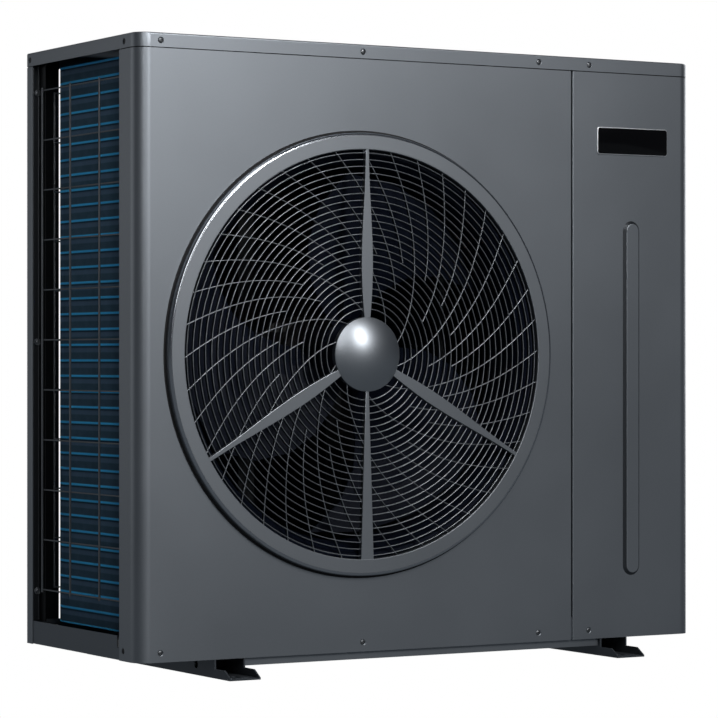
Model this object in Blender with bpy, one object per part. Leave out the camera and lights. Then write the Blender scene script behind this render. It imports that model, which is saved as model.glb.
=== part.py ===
"""Swimming pool heat pump, built as an assembly of its separate pieces.

Metres, +Z up. The fan side faces -Y, the finned coil wraps the -X side and the
rear, and the water unions leave the +X side. The origin is on the ground under
the middle of the whole unit.
"""

import math

import bmesh
import bpy
from mathutils import Vector

# ---------------------------------------------------------------- cabinet
WIDTH = 1.010                # cabinet, left face to right face
DEPTH = 0.395                # cabinet, front face to rear face
HEIGHT = 0.933               # cabinet, lower edge of the panels to top of cover
STOREY = HEIGHT / 0.933      # heights inside keep their share of the cabinet's height
FOOT_CLEARANCE = 0.028       # ground to lower edge of the panels
SHEET = 0.0012               # casing steel
FRONT_CORNER = 0.022         # outer radius of the two front corners
REAR_CORNER = 0.004          # outer radius of the two rear corners
BEND = 0.002                 # outer radius of small folds
TIGHT_BEND = 0.0002          # least radius on the inside of a fold
SKIRT = 0.0215               # height of the cover's skirt
SKIRT_GAP = 0.0014           # shadow gap under the skirt
COVER_EDGE = 0.003           # rounding of the cover's top edge
FIT = 0.0003                 # clearance between pieces that touch
NEST = SHEET + FIT           # how far a sheet steps in to lie behind another
JOGGLE = 0.0008              # height of the step where panels go under the skirt
RETURN = 0.012               # depth of the folds along panel edges
PAN_WALL = 0.0365            # height of the base pan's wall
PAN_FLOOR = 0.0015           # base pan floor thickness
PAN_NOTCH_BACK = 0.003       # notch in the pan's left wall, behind the panel's edge
PAN_NOTCH_WIDTH = 0.006
PAN_NOTCH_UP = 0.019

# ---------------------------------------------------------------- layout
SEAM = 0.7745                # left face to the joint between the front panels
SEAM_GAP = 0.0020
FLANGE = 0.061               # how far the front panels wrap round the sides
PARTITION = 0.735            # left face to the machine compartment's wall
PARTITION_FRONT = 0.00365    # front face to the wall's front fold
POST_SIDE = 0.023            # rear post, width on the left side
POST_REAR = 0.056            # rear post, width on the rear
POST_STEP = 0.0123           # rear post, depth of its inset landing
POST_LANDING = 0.023         # rear post, width of its inset landing
REAR_WRAP = 0.030            # right panel, fold round the rear corner
UNION_REACH = 0.085          # water unions, beyond the right face

LEFT = -(WIDTH + UNION_REACH) / 2
RIGHT = LEFT + WIDTH
FRONT = -DEPTH / 2
REAR = DEPTH / 2
FLOOR = FOOT_CLEARANCE
TOP = FLOOR + HEIGHT
SKIRT_LOW = TOP - SKIRT
PAN_TOP = FLOOR + PAN_FLOOR + FIT
UNDER_COVER = TOP - SHEET - FIT
WALL_X = LEFT + PARTITION

# ---------------------------------------------------------------- rails
RAIL_WIDTH = 0.052
RAIL_INSET = 0.129           # left face to the left rail, and its mirror image
RAIL_SHEET = 0.0025
TOE_REACH = 0.049            # rail ends beyond the front and rear faces
TOE_TOP = 0.031              # where the toe's upper edge starts to fall
TOE_HEIGHT = 0.014
TOE_NOSE = 0.003
BOLT_SLOT_WIDTH = 0.010
BOLT_SLOT_LENGTH = 0.022
LIFT_HOLE_RADIUS = 0.006
LIFT_HOLE_BACK = 0.060       # rail's lifting hole, behind the front face
LIFT_HOLE_UP = 0.016
CROSS_DROP = 0.012           # cross rail, below the lower edge of the panels
CROSS_BACK = 0.006           # cross rail, behind the front face
CROSS_DEPTH = 0.030

# ---------------------------------------------------------------- grille
FAN_X = 0.38725              # left face to the fan's axis
FAN_DROP = 0.010             # fan's axis below the middle of the cabinet's height
FAN_Z = HEIGHT / 2 - FAN_DROP
BEZEL_PROUD = 0.0125
BEZEL_ROUND = 0.005
BEZEL_WALL = 0.0025
GRILLE_OPENING = 0.314       # radius
BEZEL_RADIUS = GRILLE_OPENING + 0.026
RIB_WIDTH = 0.0030
RIB_RECESS = 0.0022          # rib fronts behind the bezel's face
RIB_DEPTH = 0.0060
RIB_RINGS = 6
RIB_ARMS = 8
ARM_TWIST = math.radians(72) # how far an arm turns on its way to the hub
HUB_RADIUS = 0.057
DOME_HEIGHT = 0.017
DOME_SHELL = 0.002
SPOKE_RECESS = 0.0002
LEAF_WIDTHS = (0.0125, 0.0200, 0.0060)  # leaf spokes at the hub, at their widest, at the rim
LEAF_BELLY = 0.30             # where a leaf spoke is widest, from the hub outwards
LEAF_TAPER = 0.8              # how fast it narrows from there
TAPER_WIDTHS = (0.0055, 0.0225)         # lower spoke at the hub and at the rim
SPOKE_DEPTH = 0.0088

# ---------------------------------------------------------------- fan
SHROUD_MOUTH = GRILLE_OPENING - 0.008    # radius where the shroud meets the panel
SHROUD_THROAT = GRILLE_OPENING - 0.024   # radius round the blades
SHROUD_DEPTH = 0.095
SHROUD_FLANGE = GRILLE_OPENING + 0.018
SHROUD_SHEET = 0.002
BLADE_TIP = SHROUD_THROAT - 0.010
BLADES = 3
BLADE_THICKNESS = 0.0035
BLADE_CHORD = math.radians(78)          # at the root
BLADE_CHORD_LOSS = math.radians(8)      # from root to tip
BLADE_SWEEP = math.radians(34)
BLADE_PITCH = 0.86                      # at the root, as a share of the hub's length
BLADE_PITCH_LOSS = 0.20                 # from root to tip
BLADE_CAMBER = 0.007
BLADE_ROOT = 0.8                        # share of the hub's radius
ROTOR_HUB = 0.055
ROTOR_BACK = 0.030           # hub's front face behind the cabinet's front
ROTOR_LENGTH = 0.075
SHAFT_RADIUS = 0.006
BORE_CLEARANCE = 0.0004
MOTOR_RADIUS = 0.060
MOTOR_BACK = 0.140           # motor's front face behind the cabinet's front
MOTOR_LENGTH = 0.090
MOTOR_RAIL_SPACING = 0.160
MOTOR_RAIL_WIDTH = 0.030
MOTOR_RAIL_DEPTH = 0.020
MOTOR_EAR = 0.003

# ---------------------------------------------------------------- coil
COIL_SIDE_INSET = 0.025
COIL_REAR_INSET = 0.020
COIL_CORNER = 0.068
COIL_THICKNESS = 0.044
COIL_FRONT = 0.022           # front face to the end of the coil's side leg
COIL_LOW = 0.038             # above the lower edge of the panels
COIL_HIGH = HEIGHT - 0.027
TUBE_SHEET = 0.0015
TUBE_SHEET_LIP = 0.006
GUARD_WIRE = 0.003
GUARD_ROWS = 11
GUARD_PITCH = 0.0784 * STOREY
GUARD_LOW = 0.0897 * STOREY
GUARD_COLUMNS = (0.151, 0.255, 0.3505)

# ---------------------------------------------------------------- service panel
PANEL_MIDDLE = (SEAM + WIDTH) / 2
BADGE_X = PANEL_MIDDLE - 0.0006
BADGE_Z = 0.801 * STOREY
BADGE_WIDTH = 0.138
BADGE_HEIGHT = 0.0435
BADGE_CORNER = 0.005
BADGE_THICKNESS = 0.0016
RIB_X = PANEL_MIDDLE - 0.0025
RIB_LOW = 0.0996 * STOREY
RIB_HIGH = 0.6725 * STOREY
RIB_BASE_WIDTH = 0.0325
RIB_FACE_WIDTH = 0.0215
RIB_PROUD = 0.0050

# ---------------------------------------------------------------- machine compartment
COMPRESSOR_AT = (0.835, 0.115)
COMPRESSOR_RADIUS = 0.060
COMPRESSOR_LOW = 0.022
COMPRESSOR_HEIGHT = 0.310 * STOREY
COMPRESSOR_PLATE = 0.077
COMPRESSOR_FOOT_SHEET = 0.004
GROMMET_RADIUS = 0.011
GROMMET_RING = 0.064
ACCUMULATOR_AT = (0.950, 0.110)
ACCUMULATOR_RADIUS = 0.029
ACCUMULATOR_LOW = 0.060 * STOREY
ACCUMULATOR_HEIGHT = 0.245 * STOREY
EXCHANGER_AT = (0.880, 0.290)
EXCHANGER_RADIUS = 0.074
EXCHANGER_HEIGHT = 0.442 * STOREY
EXCHANGER_BOSS_REACH = 0.094 # exchanger's axis to the end of its water bosses
VALVE_AT = (0.850, 0.200)
VALVE_UP = 0.520 * STOREY
VALVE_RADIUS = 0.014
VALVE_LENGTH = 0.104
VALVE_PORT_SPACING = 0.050
EXPANSION_AT = (0.775, 0.290)
EXPANSION_RADIUS = 0.016
EXPANSION_LOW = 0.215 * STOREY
EXPANSION_HEIGHT = 0.085
HEADER_AT = (0.752, 0.365)
HEADER_RADIUS = 0.011
HEADER_LOW = 0.080 * STOREY
HEADER_HEIGHT = 0.720 * STOREY
DISTRIBUTOR_AT = (0.765, 0.330)
DISTRIBUTOR_RADIUS = 0.012
DISTRIBUTOR_LOW = 0.385 * STOREY
DISTRIBUTOR_HEIGHT = 0.040
GAS_PIPE = 0.008
SUCTION_PIPE = 0.009
LIQUID_PIPE = 0.006
GAS_BEND = 0.016              # middle radius of the bends
LIQUID_BEND = 0.012
FEED_BEND = 0.010
DISCHARGE_RISE = 0.085        # discharge pipe's level over the compressor
SUCTION_RISE = 0.045          # suction pipe's level over the middle of its rise
HEADER_RISE = 0.030           # header pipe's level over the four-way valve
HEADER_ELBOW = 0.010          # header pipe's elbow behind the expansion valve
LIQUID_UP = 0.060             # liquid pipe's level

# ---------------------------------------------------------------- water unions
UNION_BACK = EXCHANGER_AT[1]
INLET_UP = 0.110 * STOREY
OUTLET_UP = 0.350 * STOREY
WATER_BORE = 0.025           # radius
STUB_RADIUS = 0.030
STUB_OUT = 0.038             # stub's sealing face beyond the right face
TAIL_RADIUS = STUB_RADIUS - 0.001
TAIL_FLANGE_RADIUS = STUB_RADIUS + 0.0035
TAIL_FLANGE = 0.006
NUT_RADIUS = STUB_RADIUS + 0.012
EXCHANGER_BOSS = STUB_RADIUS + 0.004
NUT_START = 0.012
NUT_LIP = 0.007
NUT_RIBS = 10
NUT_RIB_DEPTH = 0.0025
UNION_CLEARANCE = 0.0006
STUB_HOLE_CLEARANCE = 0.002

# ---------------------------------------------------------------- electrics
BOX_LEFT = 0.748
BOX_RIGHT = WIDTH - 0.012
BOX_FRONT = 0.030
BOX_BACK = 0.330
BOX_LOW = 0.600 * STOREY
BOX_HIGH = 0.880 * STOREY
BOARD_MARGIN = 0.020
BOARD_THICKNESS = 0.0025
BOARD_BACK = 0.200           # board's face behind the cabinet's front
BOARD_CELLS = (9, 7)         # squares that its large parts stand on, across and up
BOARD_PARTS = (((1, 1), 0.045), ((1, 3), 0.045), ((1, 5), 0.045), ((3, 5), 0.020),
               ((4, 1), 0.030), ((6, 3), 0.025), ((7, 5), 0.016), ((7, 1), 0.020))
CONTROL_BACK = 0.165         # controller's centre behind the front face
CONTROL_UP = 0.720 * STOREY
CONTROL_WIDTH = 0.130
CONTROL_HEIGHT = 0.100
CONTROL_PROUD = 0.008
CONTROL_FACE = 0.004         # recessed face of the controller, proud of the panel
CONTROL_FRAME = 0.008
LENS_WIDTH = 0.080
LENS_HEIGHT = 0.040
LENS_UP = 0.016              # lens centre above the controller's centre
LENS_THICKNESS = 0.0016
KEY_RADIUS = 0.006
KEY_SPACING = 0.030
KEY_DOWN = 0.024             # keys below the controller's centre
KEY_PROUD = 0.0020
KEY_TRAVEL = 0.0012
KEY_WELL = 0.0008
COVER_THICKNESS = 0.0022
COVER_AIR = 0.0010
HINGE_RADIUS = 0.0030
GLAND_BACK = 0.165
GLAND_UP = 0.200 * STOREY
GLAND_RADIUS = 0.011
GLAND_BORE = 0.0055
GLAND_REACH = 0.022


# ================================================================ materials
def material(name, colour, metallic, roughness):
    """One Principled surface."""
    surface = bpy.data.materials.new(name)
    surface.use_nodes = True
    shader = surface.node_tree.nodes["Principled BSDF"]
    shader.inputs["Base Color"].default_value = (*colour, 1.0)
    shader.inputs["Metallic"].default_value = metallic
    shader.inputs["Roughness"].default_value = roughness
    return surface


def painted_steel(name):
    return material(name, (0.19, 0.20, 0.22), 0.55, 0.42)


def dark_steel(name):
    return material(name, (0.06, 0.065, 0.07), 0.3, 0.5)


def galvanised(name):
    return material(name, (0.55, 0.57, 0.58), 0.9, 0.4)


def copper(name):
    return material(name, (0.72, 0.38, 0.22), 1.0, 0.3)


def brass(name):
    return material(name, (0.72, 0.55, 0.25), 1.0, 0.3)


def steel(name):
    return material(name, (0.62, 0.62, 0.63), 1.0, 0.3)


def blue_fins(name):
    return material(name, (0.03, 0.16, 0.32), 0.4, 0.35)


def black_plastic(name):
    return material(name, (0.02, 0.02, 0.022), 0.0, 0.45)


def gloss_black(name):
    return material(name, (0.01, 0.01, 0.012), 0.0, 0.08)


def grey_plastic(name):
    return material(name, (0.30, 0.31, 0.33), 0.0, 0.45)


def white_plastic(name):
    return material(name, (0.80, 0.80, 0.78), 0.0, 0.4)


def black_rubber(name):
    return material(name, (0.03, 0.03, 0.03), 0.0, 0.8)


def green_board(name):
    return material(name, (0.02, 0.16, 0.07), 0.0, 0.4)


# ================================================================ objects
def place(name, bm, surface, origin=(0.0, 0.0, 0.0), parent=None, flat=False):
    """Turn a bmesh in world coordinates into a named object with its own origin."""
    bmesh.ops.recalc_face_normals(bm, faces=bm.faces[:])
    bmesh.ops.translate(bm, verts=bm.verts[:], vec=-Vector(origin))
    mesh = bpy.data.meshes.new(name)
    bm.to_mesh(mesh)
    bm.free()
    if not flat:
        mesh.shade_smooth()
        mesh.set_sharp_from_angle(angle=math.radians(32))
    mesh.materials.append(surface)
    piece = bpy.data.objects.new(name, mesh)
    bpy.context.scene.collection.objects.link(piece)
    if parent is None:
        piece.location = origin
    else:
        piece.parent = parent
        piece.location = Vector(origin) - parent.location
    return piece


def pivot(name, location):
    """An empty on a joint's axis."""
    empty = bpy.data.objects.new(name, None)
    empty.location = location
    bpy.context.scene.collection.objects.link(empty)
    return empty


def helper(name, bm):
    """A hidden solid that only cuts or joins another one."""
    tool = place(name, bm, None, flat=True)
    tool.hide_render = True
    tool.display_type = "WIRE"
    return tool


def boolean(piece, tool, operation):
    step = piece.modifiers.new(operation.lower(), "BOOLEAN")
    step.operation = operation
    step.solver = "EXACT"
    step.object = tool
    return piece


def cut(piece, bm):
    return boolean(piece, helper(piece.name + "_cutter", bm), "DIFFERENCE")


def join(piece, bm):
    return boolean(piece, helper(piece.name + "_joined", bm), "UNION")


# ================================================================ solids
def box(low, high):
    """An upright block between two corners."""
    bm = bmesh.new()
    bmesh.ops.create_cube(bm, size=1.0)
    size = Vector(high) - Vector(low)
    centre = (Vector(high) + Vector(low)) / 2
    bmesh.ops.scale(bm, vec=size, verts=bm.verts[:])
    bmesh.ops.translate(bm, vec=centre, verts=bm.verts[:])
    return bm


def skin(bm, loops, close=True):
    """Join loops of points one after another and close the first and last."""
    rings = [[bm.verts.new(point) for point in loop] for loop in loops]
    count = len(rings[0])
    for ring, following in zip(rings, rings[1:]):
        for i in range(count):
            j = (i + 1) % count
            bm.faces.new((ring[i], ring[j], following[j], following[i]))
    if close:
        bm.faces.new(rings[0])
        bm.faces.new(rings[-1])
    return rings


def loft(loops):
    bm = bmesh.new()
    skin(bm, loops)
    return bm


def aim(axis):
    """Unit vectors of a turned shape: along its axis and two across it."""
    return {
        "X": (Vector((1, 0, 0)), Vector((0, 1, 0)), Vector((0, 0, 1))),
        "Y": (Vector((0, 1, 0)), Vector((0, 0, 1)), Vector((1, 0, 0))),
        "Z": (Vector((0, 0, 1)), Vector((1, 0, 0)), Vector((0, 1, 0))),
    }[axis]


def turned(profile, centre, axis, segments, ring=False):
    """Turn a profile of (radius, height) points round an axis.

    A ring's profile is a closed outline clear of the axis. Any other profile
    runs from one flat end to the other, and its ends are closed.
    """
    along, across, beside = aim(axis)
    bm = bmesh.new()
    loops = []
    for radius, height in profile:
        loop = []
        for i in range(segments):
            angle = 2 * math.pi * i / segments
            spoke = across * math.cos(angle) + beside * math.sin(angle)
            loop.append(Vector(centre) + along * height + spoke * radius)
        loops.append(loop)
    if not ring:
        skin(bm, loops)
        return bm
    rings = skin(bm, loops, close=False)
    for i in range(segments):
        j = (i + 1) % segments
        bm.faces.new((rings[-1][i], rings[-1][j], rings[0][j], rings[0][i]))
    return bm


def cylinder(centre, axis, radius, start, end, segments=24):
    return turned([(radius, start), (radius, end)], centre, axis, segments)


def tube(centre, axis, outer, inner, start, end, segments=24):
    outline = [(outer, start), (outer, end), (inner, end), (inner, start)]
    return turned(outline, centre, axis, segments, ring=True)


def arc(centre, radius, start, end, steps):
    """Points on an arc in a plane, angles in degrees."""
    points = []
    for i in range(steps + 1):
        angle = math.radians(start + (end - start) * i / steps)
        points.append((centre[0] + radius * math.cos(angle), centre[1] + radius * math.sin(angle)))
    return points


# ================================================================ sheet metal
def offset_path(path, distance, closed):
    """Shift a plan path to its left, mitring its corners."""
    points = [Vector(point) for point in path]
    count = len(points)
    shifted = []
    for i, point in enumerate(points):
        before = points[i - 1] if closed or i > 0 else None
        after = points[(i + 1) % count] if closed or i < count - 1 else None
        normals = []
        for start, end in ((before, point), (point, after)):
            if start is not None and end is not None:
                run = (end - start).normalized()
                normals.append(Vector((-run.y, run.x)))
        if len(normals) == 1:
            shifted.append(point + normals[0] * distance)
        else:
            total = normals[0] + normals[1]
            shifted.append(point + total * (distance / total.dot(normals[0])))
    return shifted


def round_path(path, radii, closed, steps):
    """Replace each corner that has a radius with an arc of that radius."""
    count = len(path)
    points = []
    for i, corner in enumerate(path):
        radius = radii[i]
        if radius <= 0 or (not closed and i in (0, count - 1)):
            points.append(corner)
            continue
        inward = (corner - path[i - 1]).normalized()
        outward = (path[(i + 1) % count] - corner).normalized()
        turn = inward.angle(outward)
        reach = radius * math.tan(turn / 2)
        side = 1 if inward.x * outward.y - inward.y * outward.x > 0 else -1
        normal = Vector((-inward.y, inward.x)) * side
        centre = corner - inward * reach + normal * radius
        for k in range(steps + 1):
            angle = turn * k / steps
            points.append(centre - normal * radius * math.cos(angle) + inward * radius * math.sin(angle))
    return points


def turns_left(path, i, closed):
    count = len(path)
    if not closed and i in (0, count - 1):
        return True
    before, corner, after = (Vector(path[(i + k) % count]) for k in (-1, 0, 1))
    first = corner - before
    second = after - corner
    return first.x * second.y - first.y * second.x > 0


def plan_line(path, radii, inset, closed=False, steps=3):
    """A plan path moved inwards, with its corner radii kept concentric."""
    moved = offset_path(path, inset, closed)
    kept = []
    for i, radius in enumerate(radii):
        grow = -inset if turns_left(path, i, closed) else inset
        kept.append(max(radius + grow, TIGHT_BEND) if radius > 0 else 0)
    return round_path(moved, kept, closed, steps)


def lift(points, z):
    return [Vector((point[0], point[1], z)) for point in points]


def bent_sheet(path, radii, levels, thickness=SHEET, steps=3):
    """A sheet that follows a plan path, with an inset at each of its levels."""
    bm = bmesh.new()
    stations = []
    for z, inset in levels:
        outer = lift(plan_line(path, radii, inset, steps=steps), z)
        inner = lift(plan_line(path, radii, inset + thickness, steps=steps), z)
        stations.append(([bm.verts.new(p) for p in outer], [bm.verts.new(p) for p in inner]))
    last = len(stations[0][0]) - 1
    for (outer, inner), (outer_up, inner_up) in zip(stations, stations[1:]):
        for i in range(last):
            bm.faces.new((outer[i], outer[i + 1], outer_up[i + 1], outer_up[i]))
            bm.faces.new((inner[i + 1], inner[i], inner_up[i], inner_up[i + 1]))
        for i in (0, last):
            bm.faces.new((outer[i], inner[i], inner_up[i], outer_up[i]))
    for outer, inner in (stations[0], stations[-1]):
        for i in range(last):
            bm.faces.new((outer[i], inner[i], inner[i + 1], outer[i + 1]))
    return bm


def casing_levels():
    """Casing panels stand flush with the cover's skirt and step in behind it."""
    return [
        (FLOOR, 0.0),
        (SKIRT_LOW - SKIRT_GAP, 0.0),
        (SKIRT_LOW - SKIRT_GAP + JOGGLE, NEST),
        (UNDER_COVER, NEST),
    ]


def footprint():
    return [(LEFT, FRONT), (RIGHT, FRONT), (RIGHT, REAR), (LEFT, REAR)]


def footprint_radii():
    return [FRONT_CORNER, FRONT_CORNER, REAR_CORNER, REAR_CORNER]


def pressed_tray(levels, steps=5):
    """A pressed tray on the cabinet's footprint."""
    loops = []
    for z, inset in levels:
        loops.append(lift(plan_line(footprint(), footprint_radii(), inset, True, steps), z))
    return loft(loops)


# ================================================================ base
def make_base_pan():
    inset = NEST
    inner = inset + SHEET
    pan = place("base_pan", pressed_tray([
        (FLOOR + FIT, inset + PAN_FLOOR),
        (FLOOR + FIT + PAN_FLOOR, inset),
        (FLOOR + PAN_WALL, inset),
        (FLOOR + PAN_WALL, inner),
        (FLOOR + FIT + PAN_FLOOR, inner),
    ], steps=3), dark_steel("base_pan"))
    notch = FRONT + FLANGE + PAN_NOTCH_BACK
    cut(pan, box(
        (LEFT, notch, FLOOR + PAN_NOTCH_UP),
        (LEFT + inner * 2, notch + PAN_NOTCH_WIDTH, FLOOR + PAN_WALL * 2)))
    return pan


def rail_outline():
    """Side view of a rail: (back, up) points."""
    front = FRONT - TOE_REACH
    shoulder = FRONT - TOE_TOP
    top = FLOOR - FIT
    return [
        (front, 0.0), (-front, 0.0), (-front, TOE_NOSE), (-shoulder, TOE_HEIGHT), (-FRONT, TOE_HEIGHT),
        (-FRONT, top), (FRONT, top), (FRONT, TOE_HEIGHT), (shoulder, TOE_HEIGHT), (front, TOE_NOSE),
    ]


def slot_cutter(x, y):
    """An upright obround cutter for a fixing slot that runs front to back."""
    half = (BOLT_SLOT_LENGTH - BOLT_SLOT_WIDTH) / 2
    outline = arc((x, y + half), BOLT_SLOT_WIDTH / 2, 0, 180, 6)
    outline += arc((x, y - half), BOLT_SLOT_WIDTH / 2, 180, 360, 6)
    return loft([lift(outline, -RAIL_SHEET), lift(outline, RAIL_SHEET * 2)])


def make_rail(name, low_x):
    high_x = low_x + RAIL_WIDTH
    loops = [[Vector((x, y, z)) for y, z in rail_outline()] for x in (low_x, high_x)]
    rail = place(name, loft(loops), dark_steel(name))
    beyond = FRONT - TOE_REACH * 2
    cut(rail, box((low_x + RAIL_SHEET, beyond, RAIL_SHEET), (high_x - RAIL_SHEET, -beyond, FLOOR * 2)))
    middle = (low_x + high_x) / 2
    for end in (-1, 1):
        cut(rail, slot_cutter(middle, end * (REAR + TOE_TOP * 0.62)))
        hole_y = end * (REAR - LIFT_HOLE_BACK)
        cut(rail, cylinder((middle, hole_y, LIFT_HOLE_UP), "X", LIFT_HOLE_RADIUS, -RAIL_WIDTH, RAIL_WIDTH, 16))
    return rail


def make_cross_rail(left_rail_high, right_rail_low):
    """A folded strip under the pan, from rail to rail."""
    low = left_rail_high + FIT
    high = right_rail_low - FIT
    bottom = FLOOR - CROSS_DROP
    front = FRONT + CROSS_BACK
    back = front + CROSS_DEPTH
    section = [
        (front, FLOOR - FIT), (front, bottom), (back, bottom), (back, FLOOR - FIT),
        (back - SHEET, FLOOR - FIT), (back - SHEET, bottom + SHEET),
        (front + SHEET, bottom + SHEET), (front + SHEET, FLOOR - FIT),
    ]
    loops = [[Vector((x, y, z)) for y, z in section] for x in (low, high)]
    return place("cross_rail", loft(loops), dark_steel("cross_rail"))


# ================================================================ casing
def notch_above_pan(panel, low, high):
    """Cut away a panel's inner folds where the pan's wall stands behind them."""
    return cut(panel, box((low[0], low[1], FLOOR - PAN_WALL), (high[0], high[1], FLOOR + PAN_WALL + FIT)))


def fan_centre(back=0.0):
    return (LEFT + FAN_X, FRONT + back, FLOOR + FAN_Z)


def make_front_fan_panel():
    seam = LEFT + SEAM - SEAM_GAP / 2
    path = [
        (LEFT + RETURN, FRONT + FLANGE), (LEFT, FRONT + FLANGE), (LEFT, FRONT),
        (seam, FRONT), (seam, FRONT + RETURN),
    ]
    radii = [0, BEND, FRONT_CORNER, BEND, 0]
    panel = place("front_fan_panel", bent_sheet(path, radii, casing_levels(), steps=6),
                  painted_steel("fan_panel_paint"))
    hole = GRILLE_OPENING + BEZEL_WALL + FIT
    cut(panel, cylinder(fan_centre(), "Y", hole, -SHEET * 4, SHEET * 4, 48))
    notch_above_pan(panel, (LEFT + SHEET + FIT / 2, FRONT + FLANGE - SHEET * 2),
                    (LEFT + RETURN * 2, FRONT + FLANGE + SHEET))
    notch_above_pan(panel, (seam - SHEET * 3, FRONT + SHEET + FIT / 2),
                    (seam + SHEET, FRONT + RETURN * 2))
    return panel


def obround(centre, width, low, high, y, steps=6):
    """An upright obround outline in a plane facing the front."""
    radius = width / 2
    outline = arc((centre, high - radius), radius, 0, 180, steps)
    outline += arc((centre, low + radius), radius, 180, 360, steps)
    return [Vector((x, y, z)) for x, z in outline]


def make_service_panel():
    seam = LEFT + SEAM + SEAM_GAP / 2
    path = [
        (seam, FRONT + RETURN), (seam, FRONT), (RIGHT, FRONT), (RIGHT, FRONT + FLANGE),
    ]
    radii = [0, BEND, FRONT_CORNER, 0]
    panel = place("service_panel", bent_sheet(path, radii, casing_levels(), steps=6),
                  painted_steel("service_panel_paint"))
    slope = (RIB_BASE_WIDTH - RIB_FACE_WIDTH) / 2
    low = FLOOR + RIB_LOW
    high = FLOOR + RIB_HIGH
    x = LEFT + RIB_X
    join(panel, loft([
        obround(x, RIB_BASE_WIDTH, low, high, FRONT + SHEET / 2),
        obround(x, RIB_BASE_WIDTH, low, high, FRONT - SHEET / 10),
        obround(x, RIB_FACE_WIDTH + SHEET, low + slope - SHEET / 2, high - slope + SHEET / 2,
                FRONT - RIB_PROUD * 0.85),
        obround(x, RIB_FACE_WIDTH, low + slope, high - slope, FRONT - RIB_PROUD),
    ]))
    notch_above_pan(panel, (seam - SHEET, FRONT + SHEET + FIT / 2), (seam + SHEET * 3, FRONT + RETURN * 2))
    return panel


def make_top_cover():
    return place("top_cover", pressed_tray([
        (TOP, COVER_EDGE),
        (TOP - COVER_EDGE * 0.12, COVER_EDGE * 0.5),
        (TOP - COVER_EDGE * 0.5, COVER_EDGE * 0.12),
        (TOP - COVER_EDGE, 0.0),
        (SKIRT_LOW, 0.0),
        (SKIRT_LOW, SHEET),
        (TOP - SHEET, SHEET),
    ]), painted_steel("cover_paint"))


def union_centre(up):
    return (RIGHT, FRONT + UNION_BACK, FLOOR + up)


def control_centre():
    return (RIGHT, FRONT + CONTROL_BACK, FLOOR + CONTROL_UP)


def gland_centre():
    return (RIGHT, FRONT + GLAND_BACK, FLOOR + GLAND_UP)


def make_right_side_panel():
    path = [
        (RIGHT, FRONT + FLANGE + SEAM_GAP), (RIGHT, REAR), (RIGHT - REAR_WRAP, REAR),
    ]
    panel = place("right_side_panel", bent_sheet(path, [0, REAR_CORNER, 0], casing_levels()),
                  painted_steel("side_panel_paint"))
    through = SHEET * 3
    for up in (INLET_UP, OUTLET_UP):
        cut(panel, cylinder(union_centre(up), "X", STUB_RADIUS + STUB_HOLE_CLEARANCE, -through, through, 32))
    cut(panel, cylinder(gland_centre(), "X", GLAND_RADIUS * 0.8 + FIT, -through, through, 16))
    return panel


def make_rear_panel():
    path = [
        (RIGHT - REAR_WRAP - SEAM_GAP, REAR), (WALL_X, REAR), (WALL_X, REAR - RETURN),
    ]
    panel = place("rear_panel", bent_sheet(path, [0, BEND, 0], casing_levels()),
                  painted_steel("rear_panel_paint"))
    notch_above_pan(panel, (WALL_X - SHEET, REAR - RETURN * 2), (WALL_X + SHEET * 3, REAR - SHEET - FIT / 2))
    return panel


def make_rear_left_post():
    landing_x = LEFT + POST_STEP
    landing_y = REAR - POST_SIDE
    path = [
        (LEFT + POST_REAR, REAR), (LEFT, REAR), (LEFT, landing_y),
        (landing_x, landing_y), (landing_x, landing_y - POST_LANDING),
    ]
    radii = [0, REAR_CORNER, BEND, BEND, 0]
    post = place("rear_left_post", bent_sheet(path, radii, casing_levels()),
                 painted_steel("post_paint"))
    notch_above_pan(post, (LEFT + SHEET + FIT / 2, landing_y - POST_LANDING * 2),
                    (landing_x + SHEET * 2, REAR - SHEET - FIT / 2))
    return post


def make_partition():
    path = [
        (WALL_X, REAR - COIL_REAR_INSET - COIL_THICKNESS - TUBE_SHEET_LIP - FIT),
        (WALL_X, FRONT + PARTITION_FRONT), (WALL_X + RETURN, FRONT + PARTITION_FRONT),
    ]
    levels = [(PAN_TOP + FIT, 0.0), (UNDER_COVER - FIT, 0.0)]
    return place("partition", bent_sheet(path, [0, BEND, 0], levels), galvanised("partition_steel"))


# ================================================================ coil and guards
def coil_path():
    """The coil's outer face in plan, from its front end to its right end."""
    return [
        (WALL_X - TUBE_SHEET - FIT, REAR - COIL_REAR_INSET),
        (LEFT + COIL_SIDE_INSET, REAR - COIL_REAR_INSET),
        (LEFT + COIL_SIDE_INSET, FRONT + COIL_FRONT),
    ]


def make_evaporator_coil():
    levels = [(FLOOR + COIL_LOW, 0.0), (FLOOR + COIL_HIGH, 0.0)]
    return place("evaporator_coil", bent_sheet(coil_path(), [0, COIL_CORNER, 0], levels, COIL_THICKNESS, 10),
                 blue_fins("coil_fins"))


def make_tube_sheets():
    """End plates that carry the coil: one at its front end, one at its right end."""
    low = FLOOR + PAN_FLOOR + FIT * 2
    high = UNDER_COVER - FIT
    x = LEFT + COIL_SIDE_INSET
    y = FRONT + COIL_FRONT - FIT
    place("tube_sheet_front", box(
        (x - TUBE_SHEET_LIP, y - TUBE_SHEET, low),
        (x + COIL_THICKNESS + TUBE_SHEET_LIP, y, high)), galvanised("front_tube_sheet"))
    rear = REAR - COIL_REAR_INSET
    place("tube_sheet_right", box(
        (WALL_X - TUBE_SHEET, rear - COIL_THICKNESS - TUBE_SHEET_LIP, low),
        (WALL_X, rear + TUBE_SHEET_LIP, high)), galvanised("right_tube_sheet"))


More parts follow.
